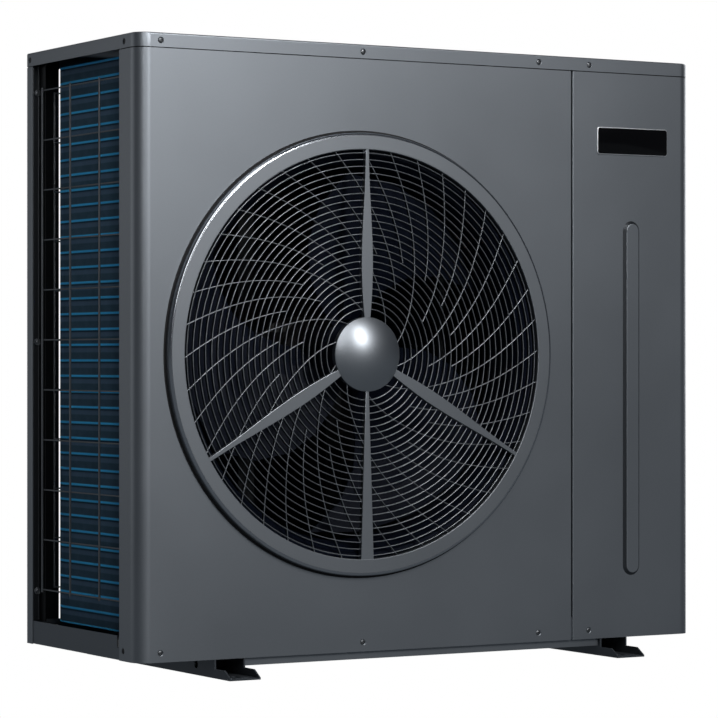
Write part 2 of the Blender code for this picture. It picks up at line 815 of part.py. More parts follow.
def lattice(columns, rows, place_point, depth_vector):
    """A flat grid of square bars.

    columns and rows are (low, high) bands. A cell belongs to the grid where a
    column or a row covers it.
    """
    u_lines = sorted({edge for band in columns for edge in band})
    v_lines = sorted({edge for band in rows for edge in band})
    bm = bmesh.new()
    corners = {}

    def corner(i, j):
        if (i, j) not in corners:
            corners[i, j] = bm.verts.new(place_point(u_lines[i], v_lines[j]))
        return corners[i, j]

    for i, (u0, u1) in enumerate(zip(u_lines, u_lines[1:])):
        in_column = any(low <= u0 and u1 <= high for low, high in columns)
        for j, (v0, v1) in enumerate(zip(v_lines, v_lines[1:])):
            in_row = any(low <= v0 and v1 <= high for low, high in rows)
            if in_column or in_row:
                bm.faces.new((corner(i, j), corner(i + 1, j), corner(i + 1, j + 1), corner(i, j + 1)))
    thicken(bm, depth_vector)
    return bm


def thicken(bm, vector):
    """Extrude a flat patch of faces into a solid."""
    result = bmesh.ops.extrude_face_region(bm, geom=bm.faces[:], use_keep_orig=True)
    moved = [item for item in result["geom"] if isinstance(item, bmesh.types.BMVert)]
    bmesh.ops.translate(bm, verts=moved, vec=vector)


def bands(centres, width):
    return [(centre - width / 2, centre + width / 2) for centre in centres]


def guard_rows():
    return bands([FLOOR + GUARD_LOW + i * GUARD_PITCH for i in range(GUARD_ROWS)], GUARD_WIRE)


def make_left_guard():
    """Square-bar stand-in for the wire guard over the coil's left face."""
    x = LEFT + POST_STEP - FIT
    columns = bands([FRONT + y for y in GUARD_COLUMNS], GUARD_WIRE)
    first = FRONT + FLANGE + FIT
    columns.insert(0, (first, first + GUARD_WIRE))
    bm = lattice(columns, guard_rows(), lambda y, z: Vector((x, y, z)), Vector((-GUARD_WIRE, 0, 0)))
    return place("left_guard", bm, dark_steel("left_guard_wire"), flat=True)


def make_rear_guard():
    """Square-bar stand-in for the wire guard over the coil's rear face."""
    y = REAR - SHEET - FIT
    first = LEFT + POST_REAR - RETURN
    last = WALL_X - FIT * 2 - GUARD_WIRE
    steps = 4
    columns = bands([first + (last - first) * i / steps for i in range(steps + 1)], GUARD_WIRE)
    rows = guard_rows()[::2]
    bm = lattice(columns, rows, lambda x, z: Vector((x, y, z)), Vector((0, -GUARD_WIRE, 0)))
    return place("rear_guard", bm, dark_steel("rear_guard_wire"), flat=True)


def make_header_and_distributor():
    place("suction_header", cylinder(at(HEADER_AT), "Z", HEADER_RADIUS, HEADER_LOW,
                                     HEADER_LOW + HEADER_HEIGHT, 16), copper("header_copper"))
    low = DISTRIBUTOR_LOW
    high = DISTRIBUTOR_LOW + DISTRIBUTOR_HEIGHT
    profile = [(DISTRIBUTOR_RADIUS * 0.6, low), (DISTRIBUTOR_RADIUS * 0.6, low + DISTRIBUTOR_HEIGHT * 0.4),
               (DISTRIBUTOR_RADIUS, high - DISTRIBUTOR_HEIGHT * 0.2), (DISTRIBUTOR_RADIUS, high)]
    place("distributor", turned(profile, at(DISTRIBUTOR_AT), "Z", 16), brass("distributor_brass"))


# ================================================================ grille and hub
def polar(radius, angle, y):
    x0, _, z0 = fan_centre()
    return Vector((x0 + radius * math.sin(angle), y, z0 + radius * math.cos(angle)))


def make_grille():
    """Bezel, spokes and ribs, moulded in one piece."""
    face = -BEZEL_PROUD
    corner = arc((BEZEL_RADIUS - BEZEL_ROUND, face + BEZEL_ROUND), BEZEL_ROUND, 0, -90, 3)
    bezel = corner + [
        (GRILLE_OPENING, face), (GRILLE_OPENING, SHEET), (GRILLE_OPENING + BEZEL_WALL, SHEET),
        (GRILLE_OPENING + BEZEL_WALL, face + BEZEL_WALL),
        (BEZEL_RADIUS - BEZEL_WALL * 1.6, face + BEZEL_WALL),
        (BEZEL_RADIUS - BEZEL_WALL, face + BEZEL_WALL * 1.6),
        (BEZEL_RADIUS - BEZEL_WALL, -FIT), (BEZEL_RADIUS, -FIT),
    ]
    grille = place("front_grille", turned(bezel, fan_centre(), "Y", 48, ring=True),
                   painted_steel("grille_paint"))
    join(grille, rib_lattice(FRONT - BEZEL_PROUD + RIB_RECESS))
    for spoke in range(3):
        join(grille, spoke_solid(math.radians(120 * spoke), leaf_width, 5))
    join(grille, spoke_solid(math.radians(180), taper_width, 2))
    hub = [(HUB_RADIUS - FIT, face + SPOKE_RECESS * 2), (HUB_RADIUS - FIT, face + SPOKE_RECESS * 3 + RIB_DEPTH)]
    join(grille, turned(hub, fan_centre(), "Y", 24))
    return grille


def rib_lattice(y):
    """Concentric ribs crossed by curved arms, as one flat moulding."""
    inner = HUB_RADIUS - RIB_WIDTH
    outer = GRILLE_OPENING + BEZEL_WALL / 2
    gap = (outer - inner - RIB_WIDTH) / (RIB_RINGS - 1)
    radii = []
    for i in range(RIB_RINGS):
        radii += [inner + gap * i, inner + gap * i + RIB_WIDTH]
    between = 3
    bm = bmesh.new()
    rings = []
    for radius in radii:
        half = math.asin(RIB_WIDTH / 2 / radius)
        twist = ARM_TWIST * (1 - radius / outer)
        ring = []
        for arm in range(RIB_ARMS):
            start = 2 * math.pi * (arm + 0.5) / RIB_ARMS + twist
            span = 2 * math.pi / RIB_ARMS - 2 * half
            ring.append(bm.verts.new(polar(radius, start - half, y)))
            for k in range(between):
                ring.append(bm.verts.new(polar(radius, start + half + span * k / between, y)))
        rings.append(ring)
    count = len(rings[0])
    for level in range(len(rings) - 1):
        for i in range(count):
            if level % 2 == 0 or i % (between + 1) == 0:
                j = (i + 1) % count
                bm.faces.new((rings[level][i], rings[level][j], rings[level + 1][j], rings[level + 1][i]))
    thicken(bm, Vector((0, RIB_DEPTH, 0)))
    return bm


def leaf_width(t):
    """Width of a leaf-shaped spoke; t runs from the hub to the bezel."""
    at_hub, widest, at_rim = LEAF_WIDTHS
    if t < LEAF_BELLY:
        return at_hub + (widest - at_hub) * math.sin(math.pi / 2 * t / LEAF_BELLY)
    fall = math.cos(math.pi / 2 * (t - LEAF_BELLY) / (1 - LEAF_BELLY))
    return at_rim + (widest - at_rim) * fall ** LEAF_TAPER


def taper_width(t):
    """Width of the straight spoke under the hub, which widens towards the bezel."""
    at_hub, at_rim = TAPER_WIDTHS
    return at_hub + (at_rim - at_hub) * t


def spoke_solid(angle, width, steps):
    inner = HUB_RADIUS - RIB_WIDTH
    outer = GRILLE_OPENING + BEZEL_WALL / 2
    front = FRONT - BEZEL_PROUD + SPOKE_RECESS
    sides = ([], [])
    for i in range(steps + 1):
        t = i / steps
        radius = inner + (outer - inner) * t
        half = math.asin(width(t) / 2 / radius)
        sides[0].append((radius, angle - half))
        sides[1].append((radius, angle + half))
    outline = sides[0] + sides[1][::-1]
    return loft([[polar(r, a, y) for r, a in outline] for y in (front, front + SPOKE_DEPTH)])


def make_hub_cap():
    """A domed cap over the middle of the grille."""
    face = -BEZEL_PROUD - FIT
    sphere = (HUB_RADIUS ** 2 + DOME_HEIGHT ** 2) / (2 * DOME_HEIGHT)
    outer = []
    inner = []
    steps = 5
    shell = DOME_SHELL
    for i in range(steps + 1):
        radius = HUB_RADIUS * math.sin(math.pi / 2 * (1 - i / steps)) if i < steps else HUB_RADIUS * 0.05
        rise = math.sqrt(sphere ** 2 - radius ** 2) - (sphere - DOME_HEIGHT)
        outer.append((radius, face - rise))
        inner.append((max(radius - shell, HUB_RADIUS * 0.03), face - max(rise - shell, 0.0)))
    profile = outer[::-1] + inner
    return place("hub_cap", turned(profile, fan_centre(), "Y", 24), painted_steel("hub_cap_paint"))


def make_badge_plate():
    x = LEFT + BADGE_X
    z = FLOOR + BADGE_Z
    path = [(x - BADGE_WIDTH / 2, z - BADGE_HEIGHT / 2), (x + BADGE_WIDTH / 2, z - BADGE_HEIGHT / 2),
            (x + BADGE_WIDTH / 2, z + BADGE_HEIGHT / 2), (x - BADGE_WIDTH / 2, z + BADGE_HEIGHT / 2)]
    outline = plan_line(path, [BADGE_CORNER] * 4, 0.0, True, 4)
    front = FRONT - FIT - BADGE_THICKNESS
    loops = [[Vector((p[0], y, p[1])) for p in outline] for y in (front, FRONT - FIT)]
    return place("badge_plate", loft(loops), gloss_black("badge_gloss"))


# ================================================================ fan
def make_fan_shroud():
    """Bell-mouthed ring behind the front panel."""
    front = SHEET + FIT
    t = SHROUD_SHEET
    bell = (SHROUD_MOUTH - SHROUD_THROAT) * 2
    inner = arc((SHROUD_THROAT + bell, front + bell), bell, 240, 180, 2)
    outer = arc((SHROUD_THROAT + bell, front + bell), bell - t, 180, 240, 2)
    start = inner[0][1]
    profile = [(SHROUD_FLANGE, front), (inner[0][0], front)]
    profile += [(r, y) for r, y in inner if y > start]
    profile += [(SHROUD_THROAT, SHROUD_DEPTH), (SHROUD_THROAT + t, SHROUD_DEPTH)]
    profile += [(r, y) for r, y in outer if y > front + t * 1.5]
    profile += [(outer[-1][0] + t, front + t), (SHROUD_FLANGE, front + t)]
    return place("fan_shroud", turned(profile, fan_centre(), "Y", 40, ring=True),
                 black_plastic("shroud_plastic"))


def blade_point(t, s, side):
    """A point of a blade: t from root to tip, s from trailing to leading edge."""
    root = ROTOR_HUB * BLADE_ROOT
    radius = root + (BLADE_TIP - root) * t
    chord = BLADE_CHORD - BLADE_CHORD_LOSS * t
    angle = BLADE_SWEEP * t * t + chord * (s - 0.5)
    pitch = ROTOR_LENGTH * (BLADE_PITCH - BLADE_PITCH_LOSS * t)
    camber = BLADE_CAMBER * math.sin(math.pi * s)
    y = ROTOR_BACK + ROTOR_LENGTH / 2 + pitch * (s - 0.5) - camber + side * BLADE_THICKNESS / 2
    return radius, angle, y


def blade_solid(index):
    bm = bmesh.new()
    spans, chords = 5, 4
    turn = 2 * math.pi * index / BLADES
    x0, y0, z0 = fan_centre()
    faces = {}
    for side in (-1, 1):
        for i in range(spans + 1):
            for j in range(chords + 1):
                radius, angle, y = blade_point(i / spans, j / chords, side)
                point = (x0 + radius * math.sin(angle + turn), y0 + y, z0 + radius * math.cos(angle + turn))
                faces[side, i, j] = bm.verts.new(point)
    for side in (-1, 1):
        for i in range(spans):
            for j in range(chords):
                bm.faces.new([faces[side, i + a, j + b] for a, b in ((0, 0), (1, 0), (1, 1), (0, 1))])
    rim = [(i, 0) for i in range(spans)] + [(spans, j) for j in range(chords)]
    rim += [(i, chords) for i in range(spans, 0, -1)] + [(0, j) for j in range(chords, 0, -1)]
    for (i, j), (k, m) in zip(rim, rim[1:] + rim[:1]):
        bm.faces.new((faces[-1, i, j], faces[-1, k, m], faces[1, k, m], faces[1, i, j]))
    return bm


def make_fan(parent):
    centre = fan_centre()
    bore = SHAFT_RADIUS + BORE_CLEARANCE
    rotor = place("fan_rotor", turned([
        (ROTOR_HUB * 0.90, ROTOR_BACK), (ROTOR_HUB, ROTOR_BACK + ROTOR_HUB * 0.1),
        (ROTOR_HUB, ROTOR_BACK + ROTOR_LENGTH), (bore, ROTOR_BACK + ROTOR_LENGTH),
        (bore, ROTOR_BACK),
    ], centre, "Y", 24, ring=True), black_plastic("rotor_plastic"), centre, parent)
    for index in range(BLADES):
        join(rotor, blade_solid(index))
    nut_length = SHAFT_RADIUS * 1.6
    nut_end = ROTOR_BACK - FIT
    place("motor_shaft", cylinder(centre, "Y", SHAFT_RADIUS, nut_end - nut_length * 1.4,
                                  MOTOR_BACK + MOTOR_LENGTH / 2, 16), steel("shaft_steel"), centre, parent)
    nut = turned([(SHAFT_RADIUS * 1.9, nut_end - nut_length), (SHAFT_RADIUS * 1.9, nut_end),
                  (bore, nut_end), (bore, nut_end - nut_length)], centre, "Y", 6, ring=True)
    for vertex in nut.verts:
        across = Vector((vertex.co.x - centre[0], 0, vertex.co.z - centre[2]))
        if across.length < SHAFT_RADIUS * 1.5:
            vertex.co += across.normalized() * (bore / math.cos(math.pi / 6) - across.length)
    place("shaft_nut", nut, steel("nut_steel"), centre, parent, flat=True)


def make_motor():
    centre = fan_centre()
    front = MOTOR_BACK
    back = MOTOR_BACK + MOTOR_LENGTH
    bore = SHAFT_RADIUS + BORE_CLEARANCE
    bore_end = MOTOR_BACK + MOTOR_LENGTH / 2 + FIT * 2
    body = place("fan_motor", turned([
        (MOTOR_RADIUS * 0.35, front), (MOTOR_RADIUS * 0.9, front + MOTOR_LENGTH * 0.12),
        (MOTOR_RADIUS, front + MOTOR_LENGTH * 0.2), (MOTOR_RADIUS, back),
    ], centre, "Y", 20), dark_steel("motor_paint"))
    ear = MOTOR_RAIL_SPACING / 2 + MOTOR_RAIL_WIDTH / 2
    join(body, box((centre[0] - ear, FRONT + back - MOTOR_EAR, centre[2] - MOTOR_RADIUS * 0.6),
                   (centre[0] + ear, FRONT + back + FIT, centre[2] + MOTOR_RADIUS * 0.6)))
    cut(body, cylinder(centre, "Y", bore, front - MOTOR_EAR, bore_end, 16))
    rail_front = FRONT + back + FIT * 2
    for name, side in (("motor_rail_left", -1), ("motor_rail_right", 1)):
        x = centre[0] + side * MOTOR_RAIL_SPACING / 2
        half = MOTOR_RAIL_WIDTH / 2
        path = [(x - half, rail_front + MOTOR_RAIL_DEPTH), (x - half, rail_front),
                (x + half, rail_front), (x + half, rail_front + MOTOR_RAIL_DEPTH)]
        levels = [(PAN_TOP + FIT, 0.0), (UNDER_COVER - FIT, 0.0)]
        place(name, bent_sheet(path, [0, BEND, BEND, 0], levels, SHEET, 2), galvanised(name))


# ================================================================ refrigerant circuit
def at(place_xy, up=0.0):
    """A point from its place in the cabinet: right of the left face, behind the front."""
    return (LEFT + place_xy[0], FRONT + place_xy[1], FLOOR + up)


def make_compressor():
    low = COMPRESSOR_LOW
    high = COMPRESSOR_LOW + COMPRESSOR_HEIGHT
    r = COMPRESSOR_RADIUS
    plate = COMPRESSOR_FOOT_SHEET
    profile = [
        (COMPRESSOR_PLATE, low), (COMPRESSOR_PLATE, low + plate), (r * 0.9, low + plate),
        (r, low + r * 0.35), (r, high - r * 0.5), (r * 0.88, high - r * 0.2), (r * 0.5, high), (r * 0.15, high),
    ]
    place("compressor", turned(profile, at(COMPRESSOR_AT), "Z", 20), black_plastic("compressor_paint"))
    for i in range(3):
        angle = math.radians(90 + 120 * i)
        spot = (COMPRESSOR_AT[0] + GROMMET_RING * math.cos(angle), COMPRESSOR_AT[1] + GROMMET_RING * math.sin(angle))
        name = "compressor_foot_%d" % (i + 1)
        start = PAN_FLOOR + FIT * 2
        place(name, cylinder(at(spot), "Z", GROMMET_RADIUS, start, low - FIT, 16), black_rubber(name))


def capsule(radius, low, high):
    """Profile of an upright vessel with rounded ends."""
    return [
        (radius * 0.45, low), (radius * 0.85, low + radius * 0.18), (radius, low + radius * 0.5),
        (radius, high - radius * 0.5), (radius * 0.85, high - radius * 0.18), (radius * 0.45, high),
    ]


def make_accumulator():
    profile = capsule(ACCUMULATOR_RADIUS, ACCUMULATOR_LOW, ACCUMULATOR_LOW + ACCUMULATOR_HEIGHT)
    return place("accumulator", turned(profile, at(ACCUMULATOR_AT), "Z", 16), black_plastic("accumulator_paint"))


def make_water_heat_exchanger():
    """PVC vessel with a coil inside, and two water bosses on its right."""
    low = PAN_FLOOR + FIT * 2
    profile = capsule(EXCHANGER_RADIUS, low, low + EXCHANGER_HEIGHT)
    vessel = place("water_heat_exchanger", turned(profile, at(EXCHANGER_AT), "Z", 24),
                   grey_plastic("exchanger_pvc"))
    for up in (INLET_UP, OUTLET_UP):
        join(vessel, cylinder(at(EXCHANGER_AT, up), "X", EXCHANGER_BOSS, 0.0, EXCHANGER_BOSS_REACH, 20))
    for up in (INLET_UP, OUTLET_UP):
        cut(vessel, cylinder(at(EXCHANGER_AT, up), "X", WATER_BORE, EXCHANGER_RADIUS * 0.3,
                             EXCHANGER_BOSS_REACH * 2, 20))
    return vessel


def make_valves():
    half = VALVE_LENGTH / 2
    place("four_way_valve", cylinder(at(VALVE_AT, VALVE_UP), "X", VALVE_RADIUS, -half, half, 20),
          brass("valve_brass"))
    low = EXPANSION_LOW
    high = EXPANSION_LOW + EXPANSION_HEIGHT
    r = EXPANSION_RADIUS
    profile = [(r * 0.5, low), (r * 0.5, low + r), (r, low + r), (r, high - r), (r * 0.5, high - r), (r * 0.5, high)]
    place("expansion_valve", turned(profile, at(EXPANSION_AT), "Z", 20), brass("expansion_brass"))


def smooth_route(points, bend, steps=3):
    """Round the corners of a route in space."""
    corners = [Vector(point) for point in points]
    route = [corners[0]]
    for before, corner, after in zip(corners, corners[1:], corners[2:]):
        inward = (corner - before).normalized()
        outward = (after - corner).normalized()
        turn = inward.angle(outward)
        reach = bend * math.tan(turn / 2)
        start = corner - inward * reach
        side = (outward - inward * inward.dot(outward)).normalized()
        for k in range(steps + 1):
            angle = turn * k / steps
            route.append(start + inward * bend * math.sin(angle) + side * bend * (1 - math.cos(angle)))
    route.append(corners[-1])
    return route


def pipe(name, points, radius, bend, surface):
    """A round pipe along a route, closed at both ends."""
    route = smooth_route(points, bend)
    curve = bpy.data.curves.new(name, "CURVE")
    curve.dimensions = "3D"
    curve.bevel_depth = radius
    curve.bevel_resolution = 2
    curve.use_fill_caps = True
    spline = curve.splines.new("POLY")
    spline.points.add(len(route) - 1)
    for spot, point in zip(spline.points, route):
        spot.co = (*point, 1.0)
    curve.materials.append(surface)
    piece = bpy.data.objects.new(name, curve)
    bpy.context.scene.collection.objects.link(piece)
    return piece


def make_pipes():
    left_port = (VALVE_AT[0] - VALVE_PORT_SPACING / 2, VALVE_AT[1])
    right_port = (VALVE_AT[0] + VALVE_PORT_SPACING / 2, VALVE_AT[1])
    under_valve = VALVE_UP - VALVE_RADIUS - FIT
    over_valve = VALVE_UP + VALVE_RADIUS + FIT
    compressor_top = COMPRESSOR_LOW + COMPRESSOR_HEIGHT + FIT
    level = compressor_top + DISCHARGE_RISE
    pipe("discharge_pipe", [
        at(COMPRESSOR_AT, compressor_top), at(COMPRESSOR_AT, level), at(left_port, level),
        at(left_port, under_valve)], GAS_PIPE, GAS_BEND, copper("discharge_copper"))
    accumulator_top = ACCUMULATOR_LOW + ACCUMULATOR_HEIGHT + FIT
    level = (accumulator_top + under_valve) / 2 + SUCTION_RISE
    pipe("suction_pipe", [
        at(right_port, under_valve), at(right_port, level), at(ACCUMULATOR_AT, level),
        at(ACCUMULATOR_AT, accumulator_top)], SUCTION_PIPE, GAS_BEND, copper("suction_copper"))
    exchanger_top = PAN_FLOOR + FIT * 2 + EXCHANGER_HEIGHT + FIT
    pipe("exchanger_gas_pipe", [
        at(EXCHANGER_AT, exchanger_top), at(EXCHANGER_AT, VALVE_UP),
        at((EXCHANGER_AT[0], VALVE_AT[1] + VALVE_RADIUS + FIT), VALVE_UP)],
        GAS_PIPE, GAS_BEND, copper("exchanger_copper"))
    level = over_valve + HEADER_RISE
    elbow = (HEADER_AT[0], EXPANSION_AT[1] + HEADER_ELBOW)
    pipe("header_pipe", [
        at(VALVE_AT, over_valve), at(VALVE_AT, level), at(elbow, level),
        at((HEADER_AT[0], HEADER_AT[1] - HEADER_RADIUS - FIT), level)],
        SUCTION_PIPE, GAS_BEND, copper("header_pipe_copper"))
    tap = (EXCHANGER_AT[0] - EXCHANGER_RADIUS - FIT, EXPANSION_AT[1])
    pipe("liquid_pipe", [
        at(tap, LIQUID_UP), at(EXPANSION_AT, LIQUID_UP), at(EXPANSION_AT, EXPANSION_LOW - FIT)],
        LIQUID_PIPE, LIQUID_BEND, copper("liquid_copper"))
    expansion_top = EXPANSION_LOW + EXPANSION_HEIGHT + FIT
    level = (expansion_top + DISTRIBUTOR_LOW) / 2
    pipe("evaporator_feed_pipe", [
        at(EXPANSION_AT, expansion_top), at(EXPANSION_AT, level), at(DISTRIBUTOR_AT, level),
        at(DISTRIBUTOR_AT, DISTRIBUTOR_LOW - FIT)], LIQUID_PIPE, FEED_BEND, copper("feed_copper"))


# ================================================================ water unions
def union_nut(centre):
    """Ribbed union nut: threaded skirt, relief for the flange, lip behind it."""
    thread = STUB_RADIUS + UNION_CLEARANCE
    relief = TAIL_FLANGE_RADIUS + UNION_CLEARANCE
    lip = TAIL_RADIUS + UNION_CLEARANCE
    seat = STUB_OUT + FIT + TAIL_FLANGE + FIT * 2
    end = seat + NUT_LIP
    segments = NUT_RIBS * 3
    bm = bmesh.new()
    along, across, beside = aim("X")
    stations = [(None, NUT_START), (None, end), (lip, end), (lip, seat), (relief, seat),
                (relief, STUB_OUT - FIT * 4), (thread, STUB_OUT - FIT * 4), (thread, NUT_START)]
    loops = []
    for radius, height in stations:
        loop = []
        for i in range(segments):
            angle = 2 * math.pi * i / segments
            ridge = NUT_RADIUS - (NUT_RIB_DEPTH if i % 3 == 2 else 0.0)
            reach = ridge if radius is None else radius
            loop.append(Vector(centre) + along * height
                        + (across * math.cos(angle) + beside * math.sin(angle)) * reach)
        loops.append(loop)
    rings = skin(bm, loops, close=False)
    for i in range(segments):
        j = (i + 1) % segments
        bm.faces.new((rings[-1][i], rings[-1][j], rings[0][j], rings[0][i]))
    return bm


def make_union(prefix, up):
    centre = union_centre(up)
    start = EXCHANGER_AT[0] + EXCHANGER_BOSS_REACH + FIT - WIDTH
    place(prefix + "_stub", tube(centre, "X", STUB_RADIUS, WATER_BORE, start, STUB_OUT),
          black_plastic(prefix + "_stub_pvc"))
    face = STUB_OUT + FIT
    tail = [(TAIL_FLANGE_RADIUS, face), (TAIL_FLANGE_RADIUS, face + TAIL_FLANGE), (TAIL_RADIUS, face + TAIL_FLANGE),
            (TAIL_RADIUS, UNION_REACH), (WATER_BORE, UNION_REACH), (WATER_BORE, face)]
    place(prefix + "_tail", turned(tail, centre, "X", 24, ring=True), black_plastic(prefix + "_tail_pvc"))
    axis = pivot(prefix + "_nut_axis", centre)
    place(prefix + "_nut", union_nut(centre), grey_plastic(prefix + "_nut_pvc"), centre, axis)


# ================================================================ electrics
def make_electrical_box():
    """Open-fronted steel box with a lid, a board and its large parts inside."""
    low = Vector(at((BOX_LEFT, BOX_FRONT), BOX_LOW))
    high = Vector(at((BOX_RIGHT, BOX_BACK), BOX_HIGH))

    def loop(inset, y):
        return [Vector((low.x + inset, y, low.z + inset)), Vector((high.x - inset, y, low.z + inset)),
                Vector((high.x - inset, y, high.z - inset)), Vector((low.x + inset, y, high.z - inset))]

    place("electrical_box", loft([
        loop(0.0, high.y), loop(0.0, low.y), loop(SHEET, low.y), loop(SHEET, high.y - SHEET),
    ]), galvanised("box_steel"))
    place("electrical_lid", loft([loop(0.0, low.y - FIT - SHEET), loop(0.0, low.y - FIT)]),
          galvanised("lid_steel"))


def make_inverter_board():
    """Circuit board with raised capacitors, coil and heat sink."""
    low_x = LEFT + BOX_LEFT + BOARD_MARGIN
    high_x = LEFT + BOX_RIGHT - BOARD_MARGIN
    low_z = FLOOR + BOX_LOW + BOARD_MARGIN
    high_z = FLOOR + BOX_HIGH - BOARD_MARGIN
    y = FRONT + BOARD_BACK
    across, up = BOARD_CELLS
    bm = bmesh.new()
    grid = [[bm.verts.new((low_x + (high_x - low_x) * i / across, y, low_z + (high_z - low_z) * j / up))
             for j in range(up + 1)] for i in range(across + 1)]
    cells = {}
    for i in range(across):
        for j in range(up):
            cells[i, j] = bm.faces.new((grid[i][j], grid[i + 1][j], grid[i + 1][j + 1], grid[i][j + 1]))
    result = bmesh.ops.extrude_face_region(bm, geom=bm.faces[:], use_keep_orig=True)
    back = [item for item in result["geom"] if isinstance(item, bmesh.types.BMVert)]
    bmesh.ops.translate(bm, verts=back, vec=(0, BOARD_THICKNESS, 0))
    for spot, height in BOARD_PARTS:
        part = bmesh.ops.extrude_discrete_faces(bm, faces=[cells[spot]])["faces"]
        bmesh.ops.translate(bm, verts=part[0].verts[:], vec=(0, -height, 0))
    return place("inverter_board", bm, green_board("board_laminate"), flat=True)


# ================================================================ controller
def control_loop(width, height, x, lift_z=0.0):
    _, y, z = control_centre()
    z += lift_z
    return [Vector((x, y - width / 2, z - height / 2)), Vector((x, y + width / 2, z - height / 2)),
            Vector((x, y + width / 2, z + height / 2)), Vector((x, y - width / 2, z + height / 2))]


def key_centres():
    x, y, z = control_centre()
    return [(x, y + KEY_SPACING * (i - 1), z - KEY_DOWN) for i in range(3)]


def make_controller():
    """Wired controller set in the right side, with a display, keys and a flap."""
    x = RIGHT + FIT
    rim = RIGHT + CONTROL_PROUD
    face = RIGHT + CONTROL_FACE
    inner_w = CONTROL_WIDTH - CONTROL_FRAME * 2
    inner_h = CONTROL_HEIGHT - CONTROL_FRAME * 2
    housing = place("controller_housing", loft([
        control_loop(CONTROL_WIDTH, CONTROL_HEIGHT, x),
        control_loop(CONTROL_WIDTH, CONTROL_HEIGHT, rim - BEND / 2),
        control_loop(CONTROL_WIDTH - BEND, CONTROL_HEIGHT - BEND, rim),
        control_loop(inner_w, inner_h, rim),
        control_loop(inner_w, inner_h, face),
    ]), black_plastic("housing_plastic"))
    for centre in key_centres():
        cut(housing, cylinder(centre, "X", KEY_RADIUS + FIT, KEY_WELL, CONTROL_PROUD * 2, 16))
    lens_front = face + FIT + LENS_THICKNESS
    place("display_lens", loft([
        control_loop(LENS_WIDTH, LENS_HEIGHT, face + FIT, LENS_UP),
        control_loop(LENS_WIDTH, LENS_HEIGHT, lens_front, LENS_UP),
    ]), gloss_black("lens_gloss"))
    base = KEY_WELL + KEY_TRAVEL + FIT
    for name, centre in zip(("key_power", "key_mode", "key_set"), key_centres()):
        bm = cylinder(centre, "X", KEY_RADIUS, base, CONTROL_FACE + KEY_PROUD, 16)
        place(name, bm, grey_plastic(name), centre)
    make_controller_cover(rim + COVER_AIR)


def hinge_line():
    """Axis of the controller's flap: (x, z)."""
    x, _, z = control_centre()
    return (x + CONTROL_PROUD + COVER_AIR + HINGE_RADIUS, z + CONTROL_HEIGHT / 2 + HINGE_RADIUS + COVER_AIR)


def make_controller_cover(x):
    """Flap that hangs from a hinge roll along its top edge."""
    _, y, z = control_centre()
    axis_x, axis_z = hinge_line()
    width = CONTROL_WIDTH - FIT * 4
    bottom = z - CONTROL_HEIGHT / 2
    outline = [(x, bottom), (x + COVER_THICKNESS, bottom), (x + COVER_THICKNESS, axis_z - HINGE_RADIUS * 0.87)]
    outline += arc((axis_x, axis_z), HINGE_RADIUS, -45, 180, 8)
    outline += [(x, axis_z - HINGE_RADIUS * 0.5)]
    axis = pivot("controller_cover_axis", (axis_x, y, axis_z))
    loops = [[Vector((u, y + side * width / 2, v)) for u, v in outline] for side in (-1, 1)]
    return place("controller_cover", loft(loops), gloss_black("flap_gloss"), (axis_x, y, axis_z), axis)


def make_cable_gland():
    """Empty gland for the supply cable."""
    r = GLAND_RADIUS
    neck = r * 0.8
    profile = [
        (neck, -SHEET * 5), (neck, FIT), (r, FIT), (r, GLAND_REACH * 0.35), (r * 0.9, GLAND_REACH * 0.4),
        (r * 0.9, GLAND_REACH * 0.8), (r * 0.7, GLAND_REACH), (GLAND_BORE, GLAND_REACH), (GLAND_BORE, -SHEET * 5),
    ]
    return place("cable_gland", turned(profile, gland_centre(), "X", 16, ring=True), black_plastic("gland_nylon"))


# ================================================================ assembly
def clear_scene():
    for item in list(bpy.data.objects):
        bpy.data.objects.remove(item, do_unlink=True)


def main():
    clear_scene()
    left_rail = LEFT + RAIL_INSET
    right_rail = RIGHT - RAIL_INSET - RAIL_WIDTH
    make_base_pan()
    make_rail("foot_rail_left", left_rail)
    make_rail("foot_rail_right", right_rail)
    make_cross_rail(left_rail + RAIL_WIDTH, right_rail)
    make_front_fan_panel()
    make_service_panel()
    make_top_cover()
    make_right_side_panel()
    make_rear_panel()
    make_rear_left_post()
    make_partition()
    make_evaporator_coil()
    make_tube_sheets()
    make_left_guard()
    make_rear_guard()
    make_header_and_distributor()
    make_grille()
    make_hub_cap()
    make_badge_plate()
    make_fan_shroud()
    make_fan(pivot("fan_axis", fan_centre()))
    make_motor()
    make_compressor()
    make_accumulator()
    make_water_heat_exchanger()
    make_valves()
    make_pipes()
    make_union("inlet", INLET_UP)
    make_union("outlet", OUTLET_UP)
    make_electrical_box()
    make_inverter_board()
    make_controller()
    make_cable_gland()


main()
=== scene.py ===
import math

import bmesh
import bpy
from mathutils import Matrix, Vector


